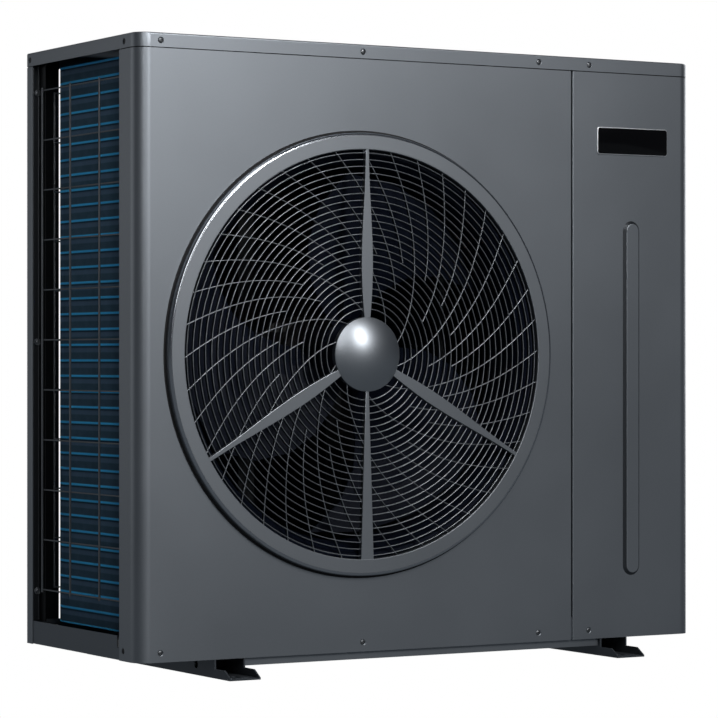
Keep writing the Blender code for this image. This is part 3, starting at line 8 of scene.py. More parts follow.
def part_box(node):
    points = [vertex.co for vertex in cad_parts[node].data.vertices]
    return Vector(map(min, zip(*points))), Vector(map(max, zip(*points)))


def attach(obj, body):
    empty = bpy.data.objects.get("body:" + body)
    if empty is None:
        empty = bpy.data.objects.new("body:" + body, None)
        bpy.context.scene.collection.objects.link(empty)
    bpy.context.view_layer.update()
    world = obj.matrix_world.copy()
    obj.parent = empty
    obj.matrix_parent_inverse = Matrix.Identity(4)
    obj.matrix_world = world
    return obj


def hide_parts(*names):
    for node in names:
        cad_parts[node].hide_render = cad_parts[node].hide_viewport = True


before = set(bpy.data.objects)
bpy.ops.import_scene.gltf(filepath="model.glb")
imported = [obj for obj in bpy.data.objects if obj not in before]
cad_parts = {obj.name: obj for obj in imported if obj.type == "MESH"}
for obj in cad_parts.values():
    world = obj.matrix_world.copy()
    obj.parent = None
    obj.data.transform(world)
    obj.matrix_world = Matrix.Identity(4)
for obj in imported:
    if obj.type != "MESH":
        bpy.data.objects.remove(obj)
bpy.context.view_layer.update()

# ---------------------------------------------------------------- places, read from the frame
COVER_LOW, COVER_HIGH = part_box("top_cover")
FAN_PANEL_LOW, FAN_PANEL_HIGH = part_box("front_fan_panel")
SERVICE_LOW, SERVICE_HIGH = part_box("service_panel")
GRILLE_LOW, GRILLE_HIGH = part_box("front_grille")
COIL_LOW, COIL_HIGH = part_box("evaporator_coil")
POST_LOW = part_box("rear_left_post")[0]
BADGE_LOW, BADGE_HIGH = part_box("badge_plate")
LEFT, RIGHT = COVER_LOW.x, COVER_HIGH.x
FRONT, REAR = COVER_LOW.y, COVER_HIGH.y
FLOOR, SKIRT_LOW, TOP = FAN_PANEL_LOW.z, COVER_LOW.z, COVER_HIGH.z
WALL_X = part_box("partition")[0].x
FAN = Vector(((GRILLE_LOW.x + GRILLE_HIGH.x) / 2, FRONT, (GRILLE_LOW.z + GRILLE_HIGH.z) / 2))

# ---------------------------------------------------------------- finer sizes, in metres
SHEET = 0.0012
FIT = 0.0003
NEST = SHEET + FIT
FRONT_CORNER = 0.022
REAR_CORNER = 0.004
FOLD = 0.0016
RETURN = 0.012
SKIRT_GAP = 0.0014
COVER_EDGE = 0.0026
NOTCH_WIDTH = 0.004
NOTCH_TOP = 0.0368
NOTCH_REACH = 0.02
CUT_PAST = 0.01
CUT_CLEAR = 0.001
BEZEL_RADIUS = 0.340
BEZEL_PROUD = 0.0125
BEZEL_ROUND = 0.0050
OPENING = 0.314
HUB_RADIUS = 0.057
DOME_HEIGHT = 0.017
SPOKE_DEPTH = 0.0088
GRILLE_BAR = 0.0014
RING_COUNT = 24
RING_FIRST = 0.0700
RING_PITCH = 0.0104
RING_DEPTH = 0.0060
RING_BACK = 0.0030
SPIRALS = 40
SPIRAL_DEPTH = 0.0056
SPIRAL_BACK = 0.0031
SPIRAL_START = 7.9
SHORT_SPIRAL_END = 0.155
MIDDLE_SPIRAL_END = 0.113
COIL_DEPTH = 0.044
COIL_CORNER = 0.068
COIL_TUBE = 0.0085
FIN_SHEET = 0.00035
FIN_PITCH = 0.0022
TUBE_PITCH = 0.02404
LINE_TOP = FLOOR + 0.8800
RIB_BASE = 0.0325
RIB_FACE = 0.0225
RIB_RISE = 0.0050
RIB_LOW = 0.0996
RIB_HIGH = 0.6725
RIB_X = (BADGE_LOW.x + BADGE_HIGH.x) / 2 - 0.0019
GUARD_ROWS = 11
GUARD_PITCH = 0.07857
GUARD_LOW = 0.0865
GUARD_TOP = GUARD_LOW + GUARD_PITCH * (GUARD_ROWS - 1)
GUARD_WIRE = 0.0012
GUARD_UPRIGHTS = (0.1485, 0.2525, 0.356)
REAR_UPRIGHTS = 8
SHARP = 35.0
WELD = 0.00001


def cab(x, y, z):
    """A point right of the left face, behind the front face and above the panels' lower edge."""
    return Vector((LEFT + x, FRONT + y, FLOOR + z))


# ---------------------------------------------------------------- finishes
class Value:
    """A number socket; arithmetic on it adds Math nodes."""

    def __init__(self, finish, socket):
        self.finish = finish
        self.socket = socket

    def math(self, operation, *operands):
        node = self.finish.node("ShaderNodeMath", {"operation": operation},
                                dict(enumerate(operands)))
        return Value(self.finish, node.outputs[0])

    def __add__(self, other):
        return self.math("ADD", self, other)

    def __sub__(self, other):
        return self.math("SUBTRACT", self, other)

    def __rsub__(self, other):
        return self.math("SUBTRACT", other, self)

    def __mul__(self, other):
        return self.math("MULTIPLY", self, other)

    def __truediv__(self, other):
        return self.math("DIVIDE", self, other)

    def power(self, exponent):
        return self.math("POWER", self, exponent)

    def absolute(self):
        return self.math("ABSOLUTE", self)

    def wrapped(self, low, high):
        return self.math("WRAP", self, high, low)

    def smooth(self, low, high):
        """Rises from 0 to 1 as the value goes from low to high."""
        node = self.finish.node("ShaderNodeMapRange", {"interpolation_type": "SMOOTHSTEP"},
                                {"Value": self, "From Min": low, "From Max": high})
        return Value(self.finish, node.outputs["Result"])

    def least(self, other):
        return self.math("MINIMUM", self, other)


class Finish:
    """One surface finish: a Principled shader and the nodes that vary it."""

    def __init__(self, name, colour, metallic=0.0, roughness=0.5, **settings):
        self.material = bpy.data.materials.new(name)
        self.material.use_nodes = True
        self.tree = self.material.node_tree
        self.shader = self.tree.nodes["Principled BSDF"]
        self.set("Base Color", (*colour, 1.0))
        self.set("Metallic", metallic)
        self.set("Roughness", roughness)
        for socket, value in settings.items():
            self.set(socket.replace("_", " "), value)
        self._place = None

    def set(self, name, value):
        """Set or link one of the shader's own sockets."""
        self.connect(value, self.shader.inputs[name])

    def connect(self, value, socket):
        if isinstance(value, Value):
            self.tree.links.new(value.socket, socket)
        elif isinstance(value, bpy.types.NodeSocket):
            self.tree.links.new(value, socket)
        else:
            socket.default_value = value

    def node(self, kind, settings=None, sockets=None):
        node = self.tree.nodes.new(kind)
        for name, value in (settings or {}).items():
            setattr(node, name, value)
        for key, value in (sockets or {}).items():
            self.connect(value, node.inputs[key])
        return node

    def place(self):
        """Object coordinates."""
        if self._place is None:
            self._place = self.node("ShaderNodeTexCoord").outputs["Object"]
        return self._place

    def axes(self):
        """Object coordinates as three values."""
        split = self.node("ShaderNodeSeparateXYZ", sockets={0: self.place()})
        return [Value(self, output) for output in split.outputs]

    def noise(self, scale, detail=2.0, roughness=0.5):
        node = self.node("ShaderNodeTexNoise", sockets={
            "Vector": self.place(), "Scale": scale, "Detail": detail, "Roughness": roughness})
        return Value(self, node.outputs[0])

    def cells(self, scale):
        """A random colour for each cell."""
        node = self.node("ShaderNodeTexVoronoi", {"feature": "F1"},
                         {"Vector": self.place(), "Scale": scale})
        return node.outputs["Color"]

    def mix(self, factor, first, second):
        """A colour between two colours."""
        node = self.node("ShaderNodeMix", {"data_type": "RGBA"})
        self.connect(factor, node.inputs["Factor"])
        for socket, colour in (("A", first), ("B", second)):
            target = [s for s in node.inputs if s.name == socket and s.type == "RGBA"][0]
            self.connect((*colour, 1.0) if isinstance(colour, tuple) else colour, target)
        return [s for s in node.outputs if s.type == "RGBA"][0]

    def bump(self, height, distance, strength):
        sockets = {"Height": height, "Distance": distance, "Strength": strength}
        self.set("Normal", self.node("ShaderNodeBump", sockets=sockets).outputs[0])


def shade(colour, factor):
    """A colour made darker or lighter."""
    return tuple(channel * factor for channel in colour)


def powder_coat(name, colour, metallic=1.0, roughness=0.437, painted_shade=None, highlight_and_polish=None):
    """Satin powder coat with a fine orange-peel skin and a faint metallic fleck.

    The first mask function darkens places with painted shade, by a factor for each mask; the second
    marks rolled edges, which get a painted highlight in their colour and a lower roughness.
    """
    finish = Finish(name, colour, metallic, roughness)
    fleck = finish.noise(2600.0, 1.0)
    cloud = finish.noise(3.5, 3.0)
    tone = (fleck * 0.5 + cloud * 0.5).smooth(0.25, 0.75)
    skin = finish.mix(tone, shade(colour, 0.93), shade(colour, 1.07))
    grain = cloud * 0.06 + (roughness - 0.03)
    # Painted shade: a darker colour wherever a mask is set.
    if painted_shade is not None:
        for mask, darkness in painted_shade(finish):
            skin = finish.mix(mask, skin, shade(colour, darkness))
    # Painted highlight: a lighter colour on rolled edges, which are also made smoother.
    if highlight_and_polish is not None:
        mask = highlight_and_polish(finish)
        skin = finish.mix(mask, skin, EDGE_HIGHLIGHT)
        grain = grain - mask * (roughness - 0.20)
    finish.set("Base Color", skin)
    finish.set("Roughness", grain)
    finish.bump(finish.noise(900.0, 2.0), 0.00006, 0.5)
    return finish.material


def galvanised(name, painted_light_level=1.0):
    """Zinc sheet with a soft spangle; a level below 1 makes a darker copy, painted shadow for
    sheets in shade.
    """
    finish = Finish(name, (0.42, 0.44, 0.46), 0.85, 0.42)
    spangle = finish.cells(90.0)
    tone = Value(finish, finish.node("ShaderNodeRGBToBW", sockets={0: spangle}).outputs[0])
    dull = shade((0.34, 0.36, 0.38), painted_light_level)
    bright = shade((0.50, 0.52, 0.54), painted_light_level)
    finish.set("Base Color", finish.mix(tone, dull, bright))
    finish.set("Roughness", tone * 0.16 + 0.34)
    finish.bump(finish.noise(500.0, 2.0), 0.00005, 0.4)
    return finish.material


def metal(name, colour, roughness, tarnish):
    """Bare metal with a cloudy tarnish and fine drawing marks."""
    finish = Finish(name, colour, 1.0, roughness)
    cloud = finish.noise(22.0, 4.0, 0.6).smooth(0.35, 0.75)
    finish.set("Base Color", finish.mix(cloud, colour, tarnish))
    finish.set("Roughness", cloud * 0.18 + roughness)
    finish.bump(finish.noise(1400.0, 2.0), 0.00002, 0.4)
    return finish.material


def plastic(name, colour, roughness=0.45, grain=700.0, depth=0.00004, shine=0.5):
    """Moulded plastic with a fine tool grain."""
    finish = Finish(name, colour, 0.0, roughness, Specular_IOR_Level=shine)
    cloud = finish.noise(9.0, 3.0)
    tone = cloud.smooth(0.3, 0.7)
    finish.set("Base Color", finish.mix(tone, shade(colour, 0.92), shade(colour, 1.08)))
    finish.set("Roughness", cloud * 0.08 + (roughness - 0.04))
    finish.bump(finish.noise(grain, 2.0), depth, 0.6)
    return finish.material


def gloss(name, colour, roughness=0.08, shine=0.5, lacquer=0.6):
    """Glossy lacquer or acrylic with faint wipe marks."""
    finish = Finish(name, colour, 0.0, roughness, Specular_IOR_Level=shine,
                    Coat_Weight=lacquer, Coat_Roughness=0.04)
    smear = finish.noise(14.0, 3.0).smooth(0.4, 0.8)
    finish.set("Roughness", smear * 0.06 + roughness)
    finish.bump(finish.noise(60.0, 1.0), 0.00001, 0.2)
    return finish.material


def fins_with_painted_light(name):
    """Blue hydrophilic coating with painted light: slate bands, a bright painted highlight line at
    the collars of every tube row, a band of painted shade and a lighter crown, and painted shade
    deeper inside the coil.
    """
    finish = Finish(name, (0.03, 0.10, 0.2), 0.35, 0.35)
    x, y, z = finish.axes()
    fall = ((LINE_TOP - z) / TUBE_PITCH + 0.5).wrapped(0.0, 1.0) - 0.5
    # Painted light on each tube row: a painted highlight line, a band of painted shade below it and
    # a lighter crown lower down.
    line = 1.0 - fall.absolute().smooth(0.05, 0.10)
    shadow = 1.0 - (fall - 0.13).absolute().smooth(0.02, 0.06)
    lit_crown = 1.0 - (fall - 0.36).absolute().smooth(0.06, 0.22)
    cloud = finish.noise(60.0, 3.0).smooth(0.3, 0.7)
    band = finish.mix(lit_crown * 0.8 + cloud * 0.2, (0.046, 0.105, 0.158), (0.105, 0.185, 0.285))
    band = finish.mix(shadow, band, (0.010, 0.040, 0.070))
    outer = finish.mix(line, band, (0.08, 0.60, 1.0))
    # Painted shade: the fins turn nearly black away from the coil's left and rear faces.
    depth = (x - COIL_LOW.x).least(COIL_HIGH.y - y)
    finish.set("Base Color", finish.mix(depth.smooth(0.012, 0.040), outer, (0.002, 0.004, 0.007)))
    finish.set("Roughness", 0.42 - line * 0.10)
    finish.bump(line, 0.0006, 0.6)
    return finish.material


def post_fold_shade(finish):
    """Painted shade on the post's step and landing, behind its side flange."""
    x, y, _ = finish.axes()
    inside = (REAR - y).smooth(0.0009, 0.0013)
    return [((x - LEFT).smooth(0.0009, 0.0013) * inside, 0.30),
            ((x - LEFT).smooth(0.0108, 0.0118) * inside, 0.08)]


def rib_flank_shade(finish):
    """Painted shade on the flanks of the grille's ribs, behind their front edges."""
    _, y, _ = finish.axes()
    return [((y - (FRONT - BEZEL_PROUD + RING_BACK)).smooth(0.0004, 0.0030), 0.10)]


def rib_wall_shade(finish):
    """Painted shade on the sloping walls round the service panel's pressed rib."""
    x, _, z = finish.axes()
    middle = FLOOR + (RIB_LOW + RIB_HIGH) / 2
    half = (RIB_HIGH - RIB_LOW - RIB_BASE) / 2
    past = (z - middle).absolute() - half
    past = (past + past.absolute()) * 0.5
    reach = (past.power(2.0) + (x - RIB_X).power(2.0)).power(0.5)
    face = RIB_FACE / 2
    return [(reach.smooth(face + 0.0001, face + 0.0010), 0.34)]


def bezel_edge_sheen(finish):
    """The bezel's rolled outer edge: a painted highlight in its colour, and a smoother finish."""
    x, y, z = finish.axes()
    across = (x - FAN.x).power(2.0) + (z - FAN.z).power(2.0)
    rim = BEZEL_RADIUS - BEZEL_ROUND
    edge = across.power(0.5).smooth(rim - 0.0008, rim + 0.0012)
    return edge * (FRONT - 0.0055 - y).smooth(0.0, 0.0015)


PAINT = (0.233, 0.251, 0.273)
DARK_PAINT = (0.085, 0.094, 0.106)
# Painted highlight colour for the bezel's rolled edge.
EDGE_HIGHLIGHT = (0.38, 0.40, 0.43)

coat = powder_coat("metallic_grey_powder_coat", PAINT)
post_coat = powder_coat("post_powder_coat", PAINT, painted_shade=post_fold_shade)
pressing_coat = powder_coat("pressed_rib_coat", PAINT, painted_shade=rib_wall_shade)
rib_coat = powder_coat("grille_rib_coat", (0.265, 0.28, 0.30), 1.0, 0.40, painted_shade=rib_flank_shade)
bezel_coat = powder_coat("bezel_coat", (0.262, 0.280, 0.302), 1.0, 0.42, highlight_and_polish=bezel_edge_sheen)
dome_coat = powder_coat("dome_coat", (0.29, 0.31, 0.335), 1.0, 0.39)
dark_coat = powder_coat("dark_grey_powder_coat", DARK_PAINT, 0.8, 0.42)
pan_coat = powder_coat("base_pan_coat", (0.135, 0.150, 0.168), 0.9, 0.42)
wire_coat = powder_coat("guard_wire_coating", (0.15, 0.16, 0.172), 0.7, 0.4)
screw_zinc = metal("dark_zinc_screw", (0.15, 0.155, 0.165), 0.32, (0.09, 0.095, 0.10))
screw_black = metal("black_oxide_screw", (0.035, 0.036, 0.038), 0.36, (0.020, 0.021, 0.022))
zinc = galvanised("galvanised_sheet")
# Painted shadow: a near-black copy of the zinc for the sheets deep inside the casing.
shadow_zinc = galvanised("zinc_sheet_painted_shadow", 0.045)
copper = metal("drawn_copper", (0.78, 0.36, 0.20), 0.22, (0.42, 0.20, 0.12))
brass = metal("machined_brass", (0.75, 0.55, 0.22), 0.25, (0.50, 0.36, 0.16))
steel = metal("ground_steel", (0.62, 0.62, 0.63), 0.25, (0.45, 0.45, 0.46))
fins = fins_with_painted_light("blue_fins_painted_light")
black_plastic = plastic("black_moulded_plastic", (0.010, 0.011, 0.013), 0.5)
navy_plastic = plastic("blue_black_fan_plastic", (0.0036, 0.0056, 0.0125), 0.55, shine=0.10)
pvc = plastic("grey_pvc", (0.26, 0.27, 0.29), 0.38, 300.0)
socket_pvc = plastic("charcoal_pvc", (0.020, 0.021, 0.024), 0.36, 260.0, 0.00005)
nut_pvc = plastic("light_grey_pvc", (0.30, 0.31, 0.33), 0.40, 300.0)
key_plastic = plastic("pale_grey_key", (0.45, 0.46, 0.48), 0.42, 500.0)
# Painted shadow: a near-black finish for the strips in the joints round the cover's skirt and the
# bezel.
joint_shadow = plastic("black_joint_shadow", (0.006, 0.006, 0.007), 0.9, 300.0, 0.0002)
rubber = plastic("black_rubber", (0.02, 0.02, 0.02), 0.8, 400.0, 0.00012)
enamel = powder_coat("black_enamel", (0.012, 0.012, 0.013), 0.0, 0.3)
badge_gloss = gloss("gloss_black_badge", (0.0012, 0.0012, 0.0016), 0.10, shine=0.25, lacquer=0.0)
flap_gloss = gloss("smoked_flap", (0.010, 0.011, 0.013), 0.12)
silver = metal("silver_trim", (0.85, 0.86, 0.88), 0.40, (0.75, 0.76, 0.78))
board = plastic("green_laminate", (0.015, 0.12, 0.05), 0.4, 200.0, 0.0001)


# ---------------------------------------------------------------- making pieces
def piece(name, bm, finish, body="cabinet", stands_for=(), angle=SHARP, merge=True):
    """Turn a bmesh in place into a finished, riding piece."""
    if merge:
        bmesh.ops.remove_doubles(bm, verts=bm.verts[:], dist=WELD)
        bmesh.ops.recalc_face_normals(bm, faces=bm.faces[:])
    mesh = bpy.data.meshes.new(name)
    bm.to_mesh(mesh)
    bm.free()
    mesh.shade_smooth()
    mesh.set_sharp_from_angle(angle=math.radians(angle))
    mesh.materials.append(finish)
    return enlist(bpy.data.objects.new(name, mesh), body, stands_for)


def enlist(item, body, stands_for):
    bpy.context.scene.collection.objects.link(item)
    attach(item, body)
    if stands_for:
        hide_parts(*stands_for)
    return item


def outline_face(bm, points, rounds, steps=6):
    """A flat face with its corners rounded."""
    corners = [bm.verts.new(point) for point in points]
    bm.faces.new(corners)
    for corner, radius in zip(corners, rounds):
        if radius > 0:
            bmesh.ops.bevel(bm, geom=[corner], offset=radius, offset_type="OFFSET",
                            affect="VERTICES", segments=steps, profile=0.5, material=-1)
    return bm.faces[:]


def raise_faces(bm, faces, vector):
    """Extrude flat faces into a solid."""
    result = bmesh.ops.extrude_face_region(bm, geom=faces, use_keep_orig=True)
    moved = [item for item in result["geom"] if isinstance(item, bmesh.types.BMVert)]
    bmesh.ops.translate(bm, verts=moved, vec=vector)


def prism(points, rounds, vector, steps=6):
    bm = bmesh.new()
    faces = outline_face(bm, points, rounds, steps)
    raise_faces(bm, faces, vector)
    return bm


def soften(bm, width, angle=40.0, segments=2):
    """Round every edge sharper than an angle."""
    bm.normal_update()
    sharp = [edge for edge in bm.edges
             if edge.is_manifold and edge.calc_face_angle() > math.radians(angle)]
    bmesh.ops.bevel(bm, geom=sharp, offset=width, offset_type="OFFSET", affect="EDGES",
                    segments=segments, profile=0.5, material=-1)
    return bm


def keep_flat(bm, margin=0.0004):
    """Give every wide flat face a narrow border, so that it shades flat up to its rounded edges."""
    wide = [face for face in bm.faces if face.calc_area() > 0.0015 * face.calc_perimeter()]
    bmesh.ops.inset_individual(bm, faces=wide, thickness=margin, use_even_offset=True)
    return bm


def block(low, high, bevel=0.0):
    bm = bmesh.new()
    bmesh.ops.create_cube(bm, size=1.0)
    bmesh.ops.scale(bm, vec=Vector(high) - Vector(low), verts=bm.verts[:])
    bmesh.ops.translate(bm, vec=(Vector(high) + Vector(low)) / 2, verts=bm.verts[:])
    if bevel:
        soften(bm, bevel)
        keep_flat(bm)
    return bm


def merge_in(target, *others):
    """Add other bmeshes to a bmesh."""
    for other in others:
        scratch = bpy.data.meshes.new("scratch")
        other.to_mesh(scratch)
        other.free()
        target.from_mesh(scratch)
        bpy.data.meshes.remove(scratch)


# Each axis with a direction square to it, for a revolved profile to start in.
AXES = {
    "X": (Vector((1, 0, 0)), Vector((0, 1, 0))),
    "Y": (Vector((0, 1, 0)), Vector((0, 0, 1))),
    "Z": (Vector((0, 0, 1)), Vector((1, 0, 0))),
}


def revolve(profile, centre, axis, steps, closed=False):
    """Spin a profile of (radius, height) points about an axis."""
    along, across = AXES[axis]
    bm = bmesh.new()
    points = [bm.verts.new(Vector(centre) + along * height + across * radius)
              for radius, height in profile]
    pairs = list(zip(points, points[1:]))
    if closed:
        pairs.append((points[-1], points[0]))
    edges = [bm.edges.new(pair) for pair in pairs]
    bmesh.ops.spin(bm, geom=points + edges, cent=Vector(centre), axis=along, angle=math.tau,
                   steps=steps, use_merge=True)
    bmesh.ops.remove_doubles(bm, verts=bm.verts[:], dist=WELD / 2)
    bmesh.ops.recalc_face_normals(bm, faces=bm.faces[:])
    return bm


def rod(start, end, radius, sides=8):
    """A straight round bar between two points."""
    start = Vector(start)
    end = Vector(end)
    run = end - start
    turn = run.to_track_quat("Z", "Y").to_matrix().to_4x4()
    bm = bmesh.new()
    bmesh.ops.create_cone(bm, cap_ends=True, segments=sides, radius1=radius, radius2=radius,
                          depth=run.length, matrix=Matrix.Translation((start + end) / 2) @ turn)
    return bm


def arc(centre, radius, start, end, steps):
    """Points on a circle in a plane, between two angles in degrees."""
    points = []
    for i in range(steps + 1):
        angle = math.radians(start + (end - start) * i / steps)
        points.append((centre[0] + radius * math.cos(angle), centre[1] + radius * math.sin(angle)))
    return points


def swept(name, routes, width, depth=0.0, closed=False):
    """Mesh of ribs or wires along flat or spatial routes; depth stretches the section along Z."""
    curve = bpy.data.curves.new(name, "CURVE")
    curve.dimensions = "3D"
    curve.twist_mode = "Z_UP"
    curve.bevel_depth = width / 2
    curve.bevel_resolution = 1
    curve.extrude = max(depth - width, 0.0) / 2
    curve.use_fill_caps = True
    for route in routes:
        spline = curve.splines.new("POLY")
        spline.points.add(len(route) - 1)
        for spot, point in zip(spline.points, route):
            spot.co = (*point, 1.0)
        spline.use_cyclic_u = closed
    item = bpy.data.objects.new(name, curve)
    bpy.context.scene.collection.objects.link(item)
    depsgraph = bpy.context.evaluated_depsgraph_get()
    mesh = bpy.data.meshes.new_from_object(item.evaluated_get(depsgraph))
    bpy.data.objects.remove(item)
    bm = bmesh.new()
    bm.from_mesh(mesh)
    bpy.data.meshes.remove(mesh)
    return bm


def carve(item, *cutters):
    """Cut bmeshes out of a piece, one after another."""
    for bm in cutters:
        mesh = bpy.data.meshes.new("cutter")
        bm.to_mesh(mesh)
        bm.free()
        tool = bpy.data.objects.new("cutter", mesh)
        bpy.context.scene.collection.objects.link(tool)
        step = item.modifiers.new("cut", "BOOLEAN")
        step.solver = "EXACT"
        step.object = tool
        depsgraph = bpy.context.evaluated_depsgraph_get()
        result = bpy.data.meshes.new_from_object(item.evaluated_get(depsgraph))
        item.modifiers.clear()
        old = item.data
        item.data = result
        bpy.data.meshes.remove(old)
        bpy.data.objects.remove(tool)
    item.data.shade_smooth()
    item.data.set_sharp_from_angle(angle=math.radians(SHARP))


# ---------------------------------------------------------------- casing
def section(outer, rounds, thickness, inward):
    """Closed outline of a folded sheet; inward gives each outer point's shift to the inner side."""
    inner = [(x + shift[0] * thickness, y + shift[1] * thickness)
             for (x, y), shift in zip(outer, inward)]
    inner_rounds = [max(radius - thickness, 0.0003) if radius else 0.0 for radius in rounds]
    return outer + inner[::-1], list(rounds) + inner_rounds[::-1]


def folded(outer, rounds, inward, low, high, steps=12):
    points, radii = section(outer, rounds, SHEET, inward)
    return prism([(x, y, low) for x, y in points], radii, (0, 0, high - low), steps)


def fan_panel_line(inset=0.0):
    """The fan panel's outer line, its corner radii and its inward shifts."""
    seam = FAN_PANEL_HIGH.x - inset
    back = FAN_PANEL_HIGH.y - inset
    left = LEFT + inset
    front = FRONT + inset
    outer = [(left + RETURN, back), (left, back), (left, front), (seam, front),
             (seam, FRONT + RETURN)]
    inward = [(0, -1), (1, -1), (1, 1), (-1, 1), (-1, 0)]
    return outer, [0, FOLD, FRONT_CORNER - inset, FOLD, 0], inward


def service_panel_line(inset=0.0):
    """The service panel's outer line, its corner radii and its inward shifts."""
    seam = SERVICE_LOW.x + inset
    right = RIGHT - inset
    front = FRONT + inset
    outer = [(seam, FRONT + RETURN), (seam, front), (right, front), (right, SERVICE_HIGH.y)]
    return outer, [0, FOLD, FRONT_CORNER - inset, 0], [(1, 0), (1, 1), (-1, 1), (-1, 0)]


def casing_panel(line):
    outer, rounds, inward = line()
    return keep_flat(folded(outer, rounds, inward, FLOOR, SKIRT_LOW - SKIRT_GAP))


def tuck_strip(name, line):
    """The part of a panel that steps in behind the cover's skirt, near-black as painted shadow in
    the gap under the skirt.
    """
    outer, rounds, inward = line(NEST)
    bm = folded(outer, rounds, inward, SKIRT_LOW - SKIRT_GAP + FIT, TOP - SHEET - FIT * 2)
    piece(name, bm, joint_shadow)


def make_fan_panel():
    item = piece("fan_panel_shell", casing_panel(fan_panel_line), coat,
                 stands_for=["front_fan_panel"])
    radius = OPENING + 0.003
    disc = [(0, -CUT_PAST), (radius, -CUT_PAST), (radius, CUT_PAST), (0, CUT_PAST)]
    hole = revolve(disc, FAN, "Y", 96)
    notch_front = block((FAN_PANEL_HIGH.x - NOTCH_WIDTH, FRONT + SHEET, FLOOR - CUT_PAST),
                        (FAN_PANEL_HIGH.x + CUT_CLEAR, FRONT + NOTCH_REACH, FLOOR + NOTCH_TOP))
    notch_back = block((LEFT + SHEET, FAN_PANEL_HIGH.y - NOTCH_WIDTH, FLOOR - CUT_PAST),
                       (LEFT + NOTCH_REACH, FAN_PANEL_HIGH.y + CUT_CLEAR, FLOOR + NOTCH_TOP))
    tuck_strip("fan_panel_tuck", fan_panel_line)
    carve(item, hole, notch_front, notch_back, dimples(FAN_PANEL_SCREWS))


def stadium(x, width, low, high, y, steps=12):
    radius = width / 2
    points = arc((x, high - radius), radius, 0, 180, steps)
    points += arc((x, low + radius), radius, 180, 360, steps)
    return [Vector((u, y, v)) for u, v in points]


def pressed_rib():
    """The raised rib on the service panel, as stacked stadium outlines."""
    low, high = FLOOR + RIB_LOW, FLOOR + RIB_HIGH
    bm = bmesh.new()
    profile = [(RIB_BASE, -0.0001), (RIB_BASE - 0.0007, 0.0003), (RIB_FACE + 0.0018, 0.0043),
               (RIB_FACE + 0.0010, 0.0048), (RIB_FACE, RIB_RISE), (RIB_FACE - 0.0008, RIB_RISE)]
    loops = []
    for width, rise in profile:
        shrink = (RIB_BASE - width) / 2
        points = stadium(RIB_X, width, low + shrink, high - shrink, FRONT - rise)
        verts = [bm.verts.new(point) for point in points]
        loops.append([bm.edges.new(pair) for pair in zip(verts, verts[1:] + verts[:1])])
    for first, second in zip(loops, loops[1:]):
        bmesh.ops.bridge_loops(bm, edges=first + second)
    bm.faces.new([edge.verts[0] for edge in loops[-1]])
    return bm


def make_service_panel():
    item = piece("service_panel_shell", casing_panel(service_panel_line), coat,
                 stands_for=["service_panel"])
    notch = block((SERVICE_LOW.x - CUT_CLEAR, FRONT + SHEET, FLOOR - CUT_PAST),
                  (SERVICE_LOW.x + NOTCH_WIDTH, FRONT + NOTCH_REACH, FLOOR + NOTCH_TOP))
    carve(item, notch, dimples(SERVICE_PANEL_SCREWS))
    tuck_strip("service_panel_tuck", service_panel_line)
    piece("service_panel_rib", pressed_rib(), pressing_coat, angle=28.0)


def make_cover():
    """Pressed cover: an open-bottomed shell with a rounded top edge and a screwed skirt."""
    corners = [(LEFT, FRONT), (RIGHT, FRONT), (RIGHT, REAR), (LEFT, REAR)]
    rounds = [FRONT_CORNER, FRONT_CORNER, REAR_CORNER, REAR_CORNER]
    bm = prism([(x, y, SKIRT_LOW) for x, y in corners], rounds, (0, 0, TOP - SKIRT_LOW), 12)
    bm.normal_update()
    top = [edge for edge in bm.edges if all(v.co.z > TOP - 0.0001 for v in edge.verts)]
    bmesh.ops.bevel(bm, geom=top, offset=COVER_EDGE, offset_type="OFFSET", affect="EDGES",
                    segments=4, profile=0.5, material=-1)
    bottom = [face for face in bm.faces
              if face.normal.z < -0.9 and face.calc_center_median().z < SKIRT_LOW + 0.0001]
    bmesh.ops.inset_region(bm, faces=bottom, thickness=SHEET, use_even_offset=True)
    bmesh.ops.translate(bm, verts=list({v for face in bottom for v in face.verts}),
                        vec=(0, 0, TOP - SKIRT_LOW - SHEET))
    item = piece("cover_shell", keep_flat(bm), coat, stands_for=["top_cover"],
                 angle=40.0)
    carve(item, dimples(COVER_SCREWS))


# ---------------------------------------------------------------- grille
def clock(radius, angle, y):
    """A point in front of the fan: angle runs clockwise from the top."""
    return Vector((FAN.x + radius * math.sin(angle), y, FAN.z + radius * math.cos(angle)))


